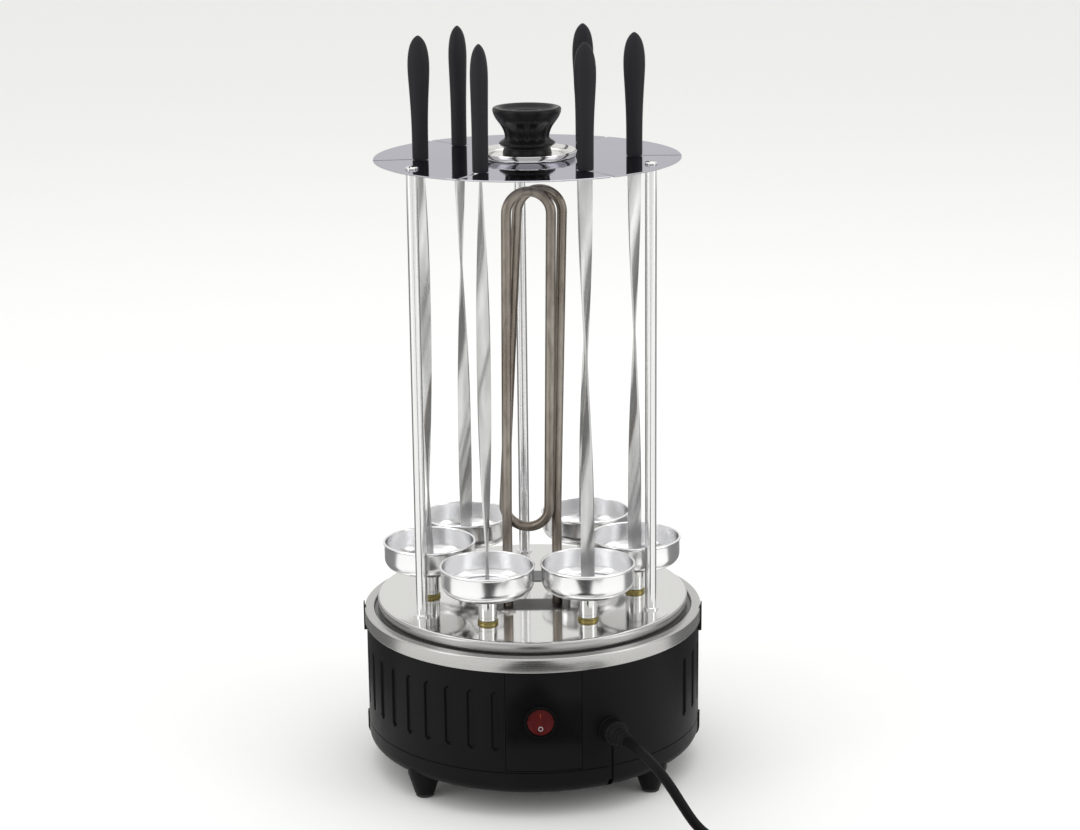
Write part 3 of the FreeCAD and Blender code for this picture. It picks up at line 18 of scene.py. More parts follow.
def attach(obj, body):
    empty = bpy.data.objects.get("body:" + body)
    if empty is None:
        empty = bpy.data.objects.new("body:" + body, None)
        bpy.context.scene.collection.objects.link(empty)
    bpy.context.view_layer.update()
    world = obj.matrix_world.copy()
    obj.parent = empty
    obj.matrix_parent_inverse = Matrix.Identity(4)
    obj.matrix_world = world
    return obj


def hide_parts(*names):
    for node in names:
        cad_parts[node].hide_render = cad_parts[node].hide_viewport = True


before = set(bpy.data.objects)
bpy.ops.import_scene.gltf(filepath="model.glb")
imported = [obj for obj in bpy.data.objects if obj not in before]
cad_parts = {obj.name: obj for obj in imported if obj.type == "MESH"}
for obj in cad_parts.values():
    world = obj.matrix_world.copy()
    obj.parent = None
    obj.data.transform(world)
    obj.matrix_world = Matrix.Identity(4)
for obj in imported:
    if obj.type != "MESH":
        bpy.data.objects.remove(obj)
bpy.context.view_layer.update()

LOG = logging.getLogger("skewer_grill")
MM = 0.001
POLE = 0.002
WELD = 0.00002
Profile = list[tuple[float, float]]
Colour = tuple[float, float, float]

CASE_RADIUS = 118.7
SWITCH_TURN = 2.1
SWITCH_HEIGHT = 70.7
GLAND_TURN = 26.1
GLAND_HEIGHT = 59.8

CUP_TURNS = (-25.0, 31.5, 88.0, 147.0, -139.0, -83.5)
SKEWER_TURNS = (90.0, 0.0, 4.0, -6.0, 33.0, 113.0)
HANDLE_TURNS = (90.0, 0.0, 4.0, -6.0, 60.0, 178.0)
ROD_TURNS = (-56.5, 63.5, 183.5)
HEATER_LEGS = ((-17.3, -4.5), (17.9, 4.5))
FOOT_TURNS = (-45.85, 49.15, 134.15, 229.15)
SPINDLE_CIRCLE = 73.0
ROD_CIRCLE = 92.0
FOOT_CIRCLE = 107.0
ROD_RADIUS = 4.0
TWIST = 190.0

PAN_BOTTOM = 17.0
SEAM = 33.8
CASE_TOP = 115.2
FLANGE_TOP = 116.0
LIP_TOP = 114.0
DECK_TOP = 123.7
DECK_UNDER = 122.9
POST_TOP = 145.2
POST_END = 152.2
CUP_TOP = 165.2
SOCKET_FLOOR = 132.2
DISC_TOP = 436.1
DISC_UNDER = 435.1
HANDLE_FOOT = 435.6


def plan_point(radius: float, turn: float) -> tuple[float, float]:
    """Give the x and y of a plan angle.

    Args:
        radius: distance from the middle axis.
        turn: plan angle.

    Returns:
        The point's x and y.
    """
    angle = math.radians(turn)
    return radius * math.sin(angle), -radius * math.cos(angle)


def plan_turn(point: Vector) -> float:
    """Give a point's plan angle."""
    return math.degrees(math.atan2(point.x, -point.y))


def arc_points(centre: tuple[float, float], radius: float, start: float, end: float,
               count: int) -> Profile:
    """Give points along an arc of a profile.

    Args:
        centre: the arc's centre as radius and height.
        radius: the arc's own radius.
        start: first angle, 0 outwards and 90 up.
        end: last angle.
        count: number of steps.

    Returns:
        The points, both ends included.
    """
    angles = (math.radians(start + (end - start) * step / count) for step in range(count + 1))
    return [(centre[0] + radius * math.cos(a), centre[1] + radius * math.sin(a))
            for a in angles]


# ---------------------------------------------------------------- finishes
class NodeSheet:
    """A material's node tree, filled step by step."""

    def __init__(self, name: str) -> None:
        """Start an empty material.

        Args:
            name: the material's name.
        """
        self.material = bpy.data.materials.new(name)
        self.material.use_nodes = True
        self.nodes = self.material.node_tree.nodes
        self.links = self.material.node_tree.links
        self.shader = self.nodes["Principled BSDF"]
        self.place = self.add("ShaderNodeTexCoord").outputs["Object"]

    def add(self, kind: str, **values: object) -> bpy.types.Node:
        """Add a node.

        Args:
            kind: the node's type name.
            values: socket names, with _ for a space, and their values.

        Returns:
            The node.
        """
        made = self.nodes.new(kind)
        for key, value in values.items():
            made.inputs[key.replace("_", " ")].default_value = value
        return made

    def set(self, **values: object) -> None:
        """Set plain values on the shader's own sockets."""
        for key, value in values.items():
            self.shader.inputs[key.replace("_", " ")].default_value = value

    def stretched(self, scale: tuple[float, float, float]) -> bpy.types.NodeSocket:
        """Give object coordinates drawn out along some axes.

        Args:
            scale: how finely a pattern repeats along each axis.

        Returns:
            The coordinates' socket.
        """
        mapping = self.add("ShaderNodeMapping", Scale=scale)
        self.links.new(self.place, mapping.inputs["Vector"])
        return mapping.outputs["Vector"]

    def noise(self, scale: tuple[float, float, float], detail: float = 3.0,
              roughness: float = 0.55) -> bpy.types.NodeSocket:
        """Add soft noise whose scale may differ along each axis.

        Args:
            scale: how finely it repeats along each axis.
            detail: how many finer layers it has.
            roughness: how strong the finer layers are.

        Returns:
            The noise's factor socket.
        """
        made = self.add("ShaderNodeTexNoise", Scale=1.0, Detail=detail, Roughness=roughness)
        self.links.new(self.stretched(scale), made.inputs["Vector"])
        return made.outputs["Fac"]

    def ramp(self, factor: bpy.types.NodeSocket,
             stops: Sequence[tuple[float, float]]) -> bpy.types.NodeSocket:
        """Map a factor through grey stops.

        Args:
            factor: the socket to read.
            stops: positions and grey values.

        Returns:
            The ramp's colour socket.
        """
        made = self.nodes.new("ShaderNodeValToRGB")
        steps = made.color_ramp.elements
        for index, (position, grey) in enumerate(stops):
            step = steps[index] if index < 2 else steps.new(position)
            step.position = position
            step.color = (grey, grey, grey, 1.0)
        self.links.new(factor, made.inputs["Fac"])
        return made.outputs["Color"]

    def mix(self, factor: bpy.types.NodeSocket, first: object,
            second: object) -> bpy.types.NodeSocket:
        """Blend two colours, each a plain colour or a socket.

        Args:
            factor: the socket that says how much of the second shows.
            first: the colour at 0.
            second: the colour at 1.

        Returns:
            The blended colour's socket.
        """
        made = self.nodes.new("ShaderNodeMix")
        made.data_type = "RGBA"
        self.links.new(factor, made.inputs["Factor"])
        for key, value in (("A", first), ("B", second)):
            socket = next(s for s in made.inputs if s.name == key and s.type == "RGBA")
            if isinstance(value, tuple):
                socket.default_value = (*value, 1.0)
            else:
                self.links.new(value, socket)
        return next(s for s in made.outputs if s.type == "RGBA")

    def colour(self, socket: bpy.types.NodeSocket) -> None:
        """Feed the base colour."""
        self.links.new(socket, self.shader.inputs["Base Color"])

    def roughness(self, factor: bpy.types.NodeSocket, low: float, high: float) -> None:
        """Feed the roughness from a factor between two values.

        Args:
            factor: the socket to read.
            low: the roughness at 0.
            high: the roughness at 1.
        """
        made = self.add("ShaderNodeMapRange")
        made.inputs["To Min"].default_value = low
        made.inputs["To Max"].default_value = high
        self.links.new(factor, made.inputs["Value"])
        self.links.new(made.outputs["Result"], self.shader.inputs["Roughness"])

    def bump(self, height: bpy.types.NodeSocket, depth: float, strength: float) -> None:
        """Raise the surface by a height socket.

        Args:
            height: the socket to read.
            depth: the full height in millimetres.
            strength: how much of it shows.
        """
        made = self.add("ShaderNodeBump", Strength=strength, Distance=depth * MM)
        self.links.new(height, made.inputs["Height"])
        self.links.new(made.outputs["Normal"], self.shader.inputs["Normal"])


@dataclass(frozen=True)
class MouldedPlastic:
    """Moulded plastic or rubber with a fine grain and a faint change of tone."""

    name: str
    slot: str
    colour: Colour
    roughness: float = 0.42
    grain: float = 900.0
    grain_depth: float = 0.05
    tone: float = 1.5
    sheen: float = 0.15

    def material(self) -> bpy.types.Material:
        """Build the node material.

        Returns:
            The material.
        """
        sheet = NodeSheet(self.name)
        sheet.set(Specular_IOR_Level=self.sheen, IOR=1.48)
        lighter = tuple(min(1.0, part * self.tone) for part in self.colour)
        sheet.colour(sheet.mix(sheet.noise((35.0, 35.0, 35.0)), self.colour, lighter))
        sheet.roughness(sheet.noise((120.0, 120.0, 120.0)), self.roughness - 0.06,
                        self.roughness + 0.08)
        grain = sheet.noise((self.grain, self.grain, self.grain), detail=2.0)
        sheet.bump(grain, self.grain_depth, 0.35)
        return sheet.material


@dataclass(frozen=True)
class BrightMetal:
    """Polished or brushed metal; the streaks run along the axes with small scales."""

    name: str
    slot: str
    colour: Colour
    roughness: float = 0.08
    streak: tuple[float, float, float] = (60.0, 60.0, 60.0)
    streak_depth: float = 0.004
    shade: float = 0.9
    edge: Colour = (1.0, 1.0, 1.0)

    def material(self) -> bpy.types.Material:
        """Build the node material; the edge tint shows at grazing angles.

        Returns:
            The material.
        """
        sheet = NodeSheet(self.name)
        sheet.set(Metallic=1.0, Specular_Tint=(*self.edge, 1.0))
        darker = tuple(part * self.shade for part in self.colour)
        streaks = sheet.noise(self.streak, detail=4.0)
        sheet.colour(sheet.mix(sheet.ramp(streaks, ((0.35, 0.0), (0.65, 1.0))),
                               self.colour, darker))
        sheet.roughness(streaks, self.roughness * 0.7, self.roughness * 1.35)
        sheet.bump(streaks, self.streak_depth, 0.25)
        return sheet.material


@dataclass(frozen=True)
class RingBrushed:
    """Sheet metal brushed round the middle axis, as a lathe leaves it."""

    name: str
    slot: str
    colour: Colour
    roughness: float = 0.16
    rings: float = 900.0
    relief: float = 0.006

    def material(self) -> bpy.types.Material:
        """Build the node material.

        Returns:
            The material.
        """
        sheet = NodeSheet(self.name)
        sheet.set(Metallic=1.0)
        flat = sheet.add("ShaderNodeVectorMath")
        flat.operation = "MULTIPLY"
        flat.inputs[1].default_value = (1.0, 1.0, 0.0)
        sheet.links.new(sheet.place, flat.inputs[0])
        length = sheet.add("ShaderNodeVectorMath")
        length.operation = "LENGTH"
        sheet.links.new(flat.outputs["Vector"], length.inputs[0])
        split = sheet.add("ShaderNodeSeparateXYZ")
        sheet.links.new(sheet.place, split.inputs[0])
        joined = sheet.add("ShaderNodeCombineXYZ")
        sheet.links.new(length.outputs["Value"], joined.inputs["X"])
        sheet.links.new(split.outputs["Z"], joined.inputs["Z"])
        scaled = sheet.add("ShaderNodeMapping", Scale=(self.rings, 1.0, self.rings))
        sheet.links.new(joined.outputs["Vector"], scaled.inputs["Vector"])
        noise = sheet.add("ShaderNodeTexNoise", Scale=1.0, Detail=3.0, Roughness=0.6)
        sheet.links.new(scaled.outputs["Vector"], noise.inputs["Vector"])
        lines = noise.outputs["Fac"]
        darker = tuple(part * 0.9 for part in self.colour)
        sheet.colour(sheet.mix(lines, self.colour, darker))
        sheet.roughness(lines, self.roughness * 0.7, self.roughness * 1.4)
        sheet.bump(lines, self.relief, 0.3)
        return sheet.material


@dataclass(frozen=True)
class HeatedTube:
    """Heater sheath coloured by heat: warm brown-grey with paler and darker patches."""

    name: str
    slot: str
    colour: Colour = (0.215, 0.185, 0.155)
    pale: Colour = (0.36, 0.325, 0.285)
    dark: Colour = (0.11, 0.092, 0.075)

    def material(self) -> bpy.types.Material:
        """Build the node material.

        Returns:
            The material.
        """
        sheet = NodeSheet(self.name)
        sheet.set(Metallic=0.9)
        patches = sheet.ramp(sheet.noise((30.0, 30.0, 9.0), detail=5.0),
                             ((0.42, 0.0), (0.62, 1.0)))
        warm = sheet.mix(patches, self.colour, self.pale)
        specks = sheet.ramp(sheet.noise((300.0, 300.0, 60.0), detail=6.0),
                            ((0.5, 0.0), (0.9, 1.0)))
        sheet.colour(sheet.mix(specks, warm, self.dark))
        sheet.roughness(patches, 0.26, 0.38)
        sheet.bump(sheet.noise((700.0, 700.0, 500.0), detail=4.0), 0.03, 0.3)
        return sheet.material


@dataclass(frozen=True)
class LampRed:
    """Clear red moulding over a lamp: two reds mixed by soft noise."""

    name: str
    slot: str
    colour: Colour = (0.095, 0.008, 0.009)
    deep: Colour = (0.035, 0.004, 0.004)

    def material(self) -> bpy.types.Material:
        """Build the node material.

        Returns:
            The material.
        """
        sheet = NodeSheet(self.name)
        sheet.set(Roughness=0.3, IOR=1.5, Specular_IOR_Level=0.08)
        sheet.colour(sheet.mix(sheet.noise((160.0, 160.0, 160.0), detail=2.0), self.colour,
                               self.deep))
        sheet.bump(sheet.noise((500.0, 500.0, 500.0), detail=1.0), 0.01, 0.2)
        return sheet.material


class Finishes:
    """Every finish of the grill, made once and shared."""

    CASE = MouldedPlastic("case_satin_black", "case_plastic", (0.0035, 0.0035, 0.004), 0.4,
                          sheen=0.1)
    PANEL = MouldedPlastic("panel_satin_black", "panel_plastic", (0.003, 0.003, 0.0035), 0.22,
                           grain_depth=0.02, sheen=0.1)
    PAD = MouldedPlastic("foot_rubber", "foot_rubber", (0.03, 0.03, 0.03), 0.75)
    CLIP = MouldedPlastic("clip_black", "clip_plastic", (0.006, 0.006, 0.006), 0.45)
    BEZEL = MouldedPlastic("bezel_gloss_black", "switch_black", (0.004, 0.004, 0.004), 0.2,
                           grain_depth=0.004, sheen=0.03)
    ROCKER = LampRed("rocker_red", "switch_red")
    KNOB = MouldedPlastic("knob_black", "knob_plastic", (0.005, 0.005, 0.0055), 0.3,
                          grain_depth=0.015, sheen=0.18)
    HANDLE = MouldedPlastic("handle_black", "handle_plastic", (0.013, 0.013, 0.0155), 0.46,
                            grain=1400.0, grain_depth=0.04)
    LEAD = MouldedPlastic("lead_black", "cord_black", (0.0045, 0.0045, 0.005), 0.42,
                          grain=1200.0, grain_depth=0.03, sheen=0.1)
    TIE = MouldedPlastic("tie_black", "tie_black", (0.03, 0.03, 0.03), 0.6)
    NYLON = MouldedPlastic("gear_nylon", "gear_nylon", (0.78, 0.76, 0.68), 0.5, tone=1.08)
    CERAMIC = MouldedPlastic("terminal_ceramic", "terminal_white", (0.8, 0.78, 0.72), 0.6,
                             tone=1.1)
    # painted glow: orange on the ON mark stands in for lamp light; nothing emits
    PAINTED_GLOW = MouldedPlastic("mark_painted_glow", "switch_red", (0.16, 0.025, 0.01), 0.5)
    MARK = MouldedPlastic("mark_white", "terminal_white", (0.30, 0.28, 0.29), 0.4, tone=1.1)
    RING = RingBrushed("ring_steel", "polished_steel", (0.53, 0.525, 0.515), 0.25, 1400.0,
                       0.001)
    DECK = RingBrushed("deck_mirror", "polished_steel", (0.76, 0.755, 0.74), 0.07, 500.0)
    # painted shade: a dark copy of the ring's steel for the groove round the lid
    GROOVE_SHADE = RingBrushed("ring_groove_painted_shade", "polished_steel", (0.17, 0.17, 0.17), 0.36, 1400.0)
    # painted shade: a darker copy of the lid's steel for its rolled side
    ROLL_SHADE = RingBrushed("deck_rolled_side_painted_shade", "polished_steel", (0.42, 0.415, 0.41), 0.26,
                       1400.0)
    DISC = BrightMetal("disc_mirror", "polished_steel", (0.555, 0.55, 0.595), 0.05,
                       (14.0, 14.0, 14.0), 0.004, 0.96, edge=(0.70, 0.695, 0.735))
    DISH = RingBrushed("dish_steel", "polished_steel", (0.82, 0.81, 0.79), 0.14, 900.0)
    CUP = BrightMetal("cup_chrome", "cup_chrome", (0.92, 0.92, 0.93), 0.2,
                      (45.0, 45.0, 45.0), 0.01, 0.95)
    CHROME = BrightMetal("post_chrome", "rod_chrome", (0.76, 0.76, 0.75), 0.09,
                         (150.0, 150.0, 25.0), 0.006)
    ROD = BrightMetal("rod_chrome", "rod_chrome", (0.82, 0.82, 0.825), 0.16,
                      (260.0, 260.0, 12.0), 0.008, 0.94)
    SCREW = BrightMetal("screw_steel", "screw_steel", (0.62, 0.61, 0.58), 0.22)
    PLATE = BrightMetal("plate_steel", "plate_steel", (0.58, 0.57, 0.55), 0.24,
                        (30.0, 400.0, 400.0), 0.01)
    MOTOR = BrightMetal("motor_zinc", "motor_steel", (0.62, 0.62, 0.57), 0.32)
    BRASS = BrightMetal("bush_brass", "bush_brass", (0.40, 0.33, 0.13), 0.24,
                        (200.0, 200.0, 900.0), 0.01, 0.6)
    BLADE = BrightMetal("blade_steel", "blade_steel", (0.66, 0.66, 0.66), 0.24,
                        (90.0, 90.0, 16.0), 0.012, 0.68)
    STRAP = BrightMetal("strap_steel", "plate_steel", (0.17, 0.17, 0.175), 0.34,
                        (30.0, 400.0, 400.0), 0.01)
    HEATER = HeatedTube("heater_sheath", "heater_steel")

    _made: dict[str, bpy.types.Material] = {}

    @classmethod
    def material(cls, finish: object) -> bpy.types.Material:
        """Give a finish's material, made the first time it is asked for.

        Args:
            finish: one of the finishes above.

        Returns:
            The material that every piece with this finish shares.
        """
        if finish.name not in cls._made:
            cls._made[finish.name] = finish.material()
        return cls._made[finish.name]

    @classmethod
    def dress(cls, piece: bpy.types.Object, finish: object) -> None:
        """Give a whole piece one finish."""
        piece.data.materials.clear()
        piece.data.materials.append(cls.material(finish))

    @classmethod
    def dress_part(cls, piece: bpy.types.Object, finish: object,
                   wanted: Callable[[float, float], bool]) -> None:
        """Give some faces of a round piece a second finish.

        Args:
            piece: a piece that is dressed already.
            finish: the second finish.
            wanted: tells from a face's radius and height whether it gets it.
        """
        piece.data.materials.append(cls.material(finish))
        for face in piece.data.polygons:
            centre = face.center / MM
            if wanted(math.hypot(centre.x, centre.y), centre.z):
                face.material_index = 1


# ---------------------------------------------------------------- the maker's bench
class Bench:
    """Edit-mode tools that shape one mesh at a time."""

    @staticmethod
    def take(piece: bpy.types.Object) -> bpy.types.Object:
        """Make one piece the only selected and active one.

        Args:
            piece: the piece.

        Returns:
            The same piece.
        """
        bpy.ops.object.select_all(action="DESELECT")
        piece.select_set(True)
        bpy.context.view_layer.objects.active = piece
        return piece

    @staticmethod
    def named(name: str) -> bpy.types.Object:
        """Name the piece that was just added and fix its place into its mesh.

        Args:
            name: the piece's name.

        Returns:
            The piece.
        """
        piece = bpy.context.object
        piece.name = name
        piece.data.name = name
        Bench.take(piece)
        bpy.ops.object.transform_apply(location=True, rotation=True, scale=True)
        return piece

    @staticmethod
    def edit() -> None:
        """Go into edit mode with every corner of the active piece selected."""
        bpy.ops.object.mode_set(mode="EDIT")
        bpy.ops.mesh.select_mode(type="VERT")
        bpy.ops.mesh.select_all(action="SELECT")

    @staticmethod
    def ring(name: str, radius: float, height: float, sides: int) -> bpy.types.Object:
        """Add the circle that a round piece starts from.

        Args:
            name: the piece's name.
            radius: the circle's radius.
            height: its height above the table.
            sides: how many sides it has.

        Returns:
            The circle.
        """
        bpy.ops.object.select_all(action="DESELECT")
        bpy.ops.mesh.primitive_circle_add(
            vertices=sides, radius=max(radius, POLE) * MM, location=(0, 0, height * MM))
        return Bench.named(name)

    @staticmethod
    def turn(name: str, profile: Profile, sides: int = 96,
             closed: bool = True) -> bpy.types.Object:
        """Raise a round piece ring by ring.

        Args:
            name: the piece's name.
            profile: corners as radius and height.
            sides: how many sides the rings have.
            closed: whether the last corner joins the first.

        Returns:
            The piece, with sound normals.
        """
        corners = profile + [profile[0]] if closed else profile
        piece = Bench.ring(name, corners[0][0], corners[0][1], sides)
        Bench.edit()
        last_radius, last_height = max(corners[0][0], POLE), corners[0][1]
        for radius, height in corners[1:]:
            radius = max(radius, POLE)
            bpy.ops.mesh.extrude_region_move(
                TRANSFORM_OT_translate={"value": (0, 0, (height - last_height) * MM)})
            if radius != last_radius:
                ratio = radius / last_radius
                bpy.ops.transform.resize(value=(ratio, ratio, 1),
                                         center_override=(0, 0, height * MM))
            last_radius, last_height = radius, height
        Bench.weld()
        bpy.ops.object.mode_set(mode="OBJECT")
        return piece

    @staticmethod
    def weld() -> None:
        """Merge doubles and point the faces outwards, in edit mode."""
        bpy.ops.mesh.select_all(action="SELECT")
        bpy.ops.mesh.remove_doubles(threshold=WELD)
        bpy.ops.mesh.normals_make_consistent(inside=False)

    @staticmethod
    def apply(piece: bpy.types.Object, kind: str, **values: object) -> None:
        """Add one modifier, set it and apply it.

        Args:
            piece: the piece.
            kind: the modifier's type name.
            values: the modifier's settings.
        """
        Bench.take(piece)
        made = piece.modifiers.new(kind.lower(), kind)
        for key, value in values.items():
            setattr(made, key, value)
        bpy.ops.object.modifier_apply(modifier=made.name)

    @staticmethod
    def soften(piece: bpy.types.Object, width: float, segments: int = 2,
               angle: float = 40.0) -> None:
        """Round the sharp edges of a piece.

        Args:
            piece: the piece.
            width: how wide the rounding is.
            segments: how many steps it has.
            angle: the smallest turn between faces that counts as sharp.
        """
        Bench.apply(piece, "BEVEL", width=width * MM, segments=segments,
                    limit_method="ANGLE", angle_limit=math.radians(angle),
                    use_clamp_overlap=True)

    @staticmethod
    def smooth(piece: bpy.types.Object, angle: float = 32.0) -> None:
        """Shade smoothly up to an angle."""
        Bench.take(piece)
        bpy.ops.object.shade_smooth_by_angle(angle=math.radians(angle))

    @staticmethod
    def carve(piece: bpy.types.Object, cutters: Iterable[bpy.types.Object]) -> None:
        """Cut other meshes out of a piece and remove them.

        Args:
            piece: the piece to cut.
            cutters: what is cut out of it.
        """
        for cutter in list(cutters):
            Bench.apply(piece, "BOOLEAN", object=cutter, operation="DIFFERENCE",
                        solver="EXACT")
            bpy.data.objects.remove(cutter)

    @staticmethod
    def gather(name: str, pieces: Sequence[bpy.types.Object]) -> bpy.types.Object:
        """Join meshes into one piece.

        Args:
            name: the whole's name.
            pieces: the meshes to join.

        Returns:
            The whole.
        """
        Bench.take(pieces[0])
        for piece in pieces[1:]:
            piece.select_set(True)
        bpy.ops.object.join()
        whole = bpy.context.object
        whole.name = name
        whole.data.name = name
        return whole

    @staticmethod
    def move(piece: bpy.types.Object, place: Matrix) -> bpy.types.Object:
        """Carry a piece to its place and fix that into its mesh.

        Args:
            piece: the piece.
            place: the placement, in metres.

        Returns:
            The same piece.
        """
        Bench.take(piece)
        piece.matrix_world = place
        bpy.ops.object.transform_apply(location=True, rotation=True, scale=True)
        return piece

    @staticmethod
    def copy(piece: bpy.types.Object, name: str, place: Matrix) -> bpy.types.Object:
        """Copy a piece, mesh and all, to a place.

        Args:
            piece: the piece to copy.
            name: the copy's name.
            place: the copy's placement, in metres.

        Returns:
            The copy.
        """
        Bench.take(piece)
        bpy.ops.object.duplicate(linked=False)
        twin = bpy.context.object
        twin.name = name
        twin.data.name = name
        return Bench.move(twin, place)

    @staticmethod
    def deal(pattern: bpy.types.Object, stem: str, radius: float, turns: Iterable[float],
             spin: Callable[[float], float] = lambda turn: 0.0) -> list[bpy.types.Object]:
        """Copy a pattern to several places on a circle and remove the pattern.

        Args:
            pattern: the piece to copy, made on the middle axis.
            stem: the first part of the copies' names.
            radius: the circle's radius.
            turns: plan angles of the copies.
            spin: gives the turn of a copy about its own axis from its plan angle.

        Returns:
            The copies, in the order of the angles.
        """
        twins = [Bench.copy(pattern, f"{stem}_{turn:.0f}", round_place(radius, turn, spin(turn)))
                 for turn in turns]
        bpy.data.objects.remove(pattern)
        return twins

    @staticmethod
    def block(name: str, low: Sequence[float], high: Sequence[float]) -> bpy.types.Object:
        """Add a box between two corners.

        Args:
            name: the box's name.
            low: the corner with the low values.
            high: the corner with the high values.

        Returns:
            The box.
        """
        bpy.ops.object.select_all(action="DESELECT")
        middle = [(a + b) / 2 * MM for a, b in zip(low, high)]
        bpy.ops.mesh.primitive_cube_add(size=1.0, location=middle)
        bpy.context.object.scale = [(b - a) * MM for a, b in zip(low, high)]
        return Bench.named(name)

    @staticmethod
    def rod(name: str, radius: float, low: float, high: float, x: float = 0.0,
            y: float = 0.0, sides: int = 48) -> bpy.types.Object:
        """Add an upright cylinder.

        Args:
            name: the cylinder's name.
            radius: its radius.
            low: the height of its foot.
            high: the height of its top.
            x: how far right its axis stands.
            y: how far back its axis stands.
            sides: how many sides it has.

        Returns:
            The cylinder.
        """
        bpy.ops.object.select_all(action="DESELECT")
        bpy.ops.mesh.primitive_cylinder_add(
            vertices=sides, radius=radius * MM, depth=(high - low) * MM,
            location=(x * MM, y * MM, (low + high) / 2 * MM))
        return Bench.named(name)

    @staticmethod
    def pick(piece: bpy.types.Object, wanted: Callable[[Vector], bool]) -> None:
        """Select the faces whose centre passes a test, leaving edit mode ready.

        Args:
            piece: the piece.
            wanted: the test, given a face's centre.
        """
        Bench.select_none("FACE")
        for face in piece.data.polygons:
            face.select = wanted(face.center / MM)
        bpy.ops.object.mode_set(mode="EDIT")

    @staticmethod
    def pick_corners(piece: bpy.types.Object, wanted: Callable[[Vector], bool]) -> None:
        """Select the corners that pass a test, leaving edit mode ready.

        Args:
            piece: the piece.
            wanted: the test, given a corner's place.
        """
        Bench.select_none("VERT")
        for vertex in piece.data.vertices:
            vertex.select = wanted(vertex.co / MM)
        bpy.ops.object.mode_set(mode="EDIT")

    @staticmethod
    def select_none(kind: str) -> None:
        """Drop the whole selection and set what the next one is made of.

        Args:
            kind: VERT or FACE.
        """
        bpy.ops.object.mode_set(mode="EDIT")
        bpy.ops.mesh.select_mode(type=kind)
        bpy.ops.mesh.select_all(action="DESELECT")
        bpy.ops.object.mode_set(mode="OBJECT")

    @staticmethod
    def drop(piece: bpy.types.Object, unwanted: Callable[[Vector], bool]) -> None:
        """Delete the faces whose centre passes a test.

        Args:
            piece: the piece.
            unwanted: the test, given a face's centre.
        """
        Bench.pick(piece, unwanted)
        bpy.ops.mesh.delete(type="FACE")
        bpy.ops.object.mode_set(mode="OBJECT")

    @staticmethod
    def face_outwards() -> None:
        """Point every face outwards and leave edit mode."""
        bpy.ops.mesh.select_all(action="SELECT")
        bpy.ops.mesh.normals_make_consistent(inside=False)
        bpy.ops.object.mode_set(mode="OBJECT")


def round_place(radius: float, turn: float, spin: float = 0.0) -> Matrix:
    """Give the place of a piece on a circle about the middle axis.

    Args:
        radius: the circle's radius.
        turn: plan angle.
        spin: turn about the piece's own axis.

    Returns:
        The placement, in metres.
    """
    x, y = plan_point(radius, turn)
    return (Matrix.Translation((x * MM, y * MM, 0))
            @ Matrix.Rotation(math.radians(spin), 4, "Z"))


def outward_place(radius: float, turn: float, height: float, tilt: float = 0.0) -> Matrix:
    """Give the place of a piece whose +Z points straight out of the case.

    Args:
        radius: distance from the middle axis.
        turn: plan angle.
        height: height above the table.
        tilt: extra turn about the piece's own X axis.

    Returns:
        The placement, in metres.
    """
    x, y = plan_point(radius, turn)
    return (Matrix.Translation((x * MM, y * MM, height * MM))
            @ Matrix.Rotation(math.radians(turn), 4, "Z")
            @ Matrix.Rotation(math.radians(90 + tilt), 4, "X"))


def fit(piece: bpy.types.Object, body: str, finish: object, *nodes: str,
        angle: float = 32.0) -> bpy.types.Object:
    """Finish a new piece: dress it, let it ride and let it stand for CAD nodes.

    Args:
        piece: the finished mesh.
        body: the body that carries it.
        finish: its finish.
        nodes: the CAD nodes that it replaces.
        angle: smoothing angle.

    Returns:
        The same piece.
    """
    Bench.smooth(piece, angle)
    Finishes.dress(piece, finish)
    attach(piece, body)
    if nodes:
        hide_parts(*nodes)
    LOG.info("%s: %d faces on %s", piece.name, len(piece.data.polygons), body)
    return piece


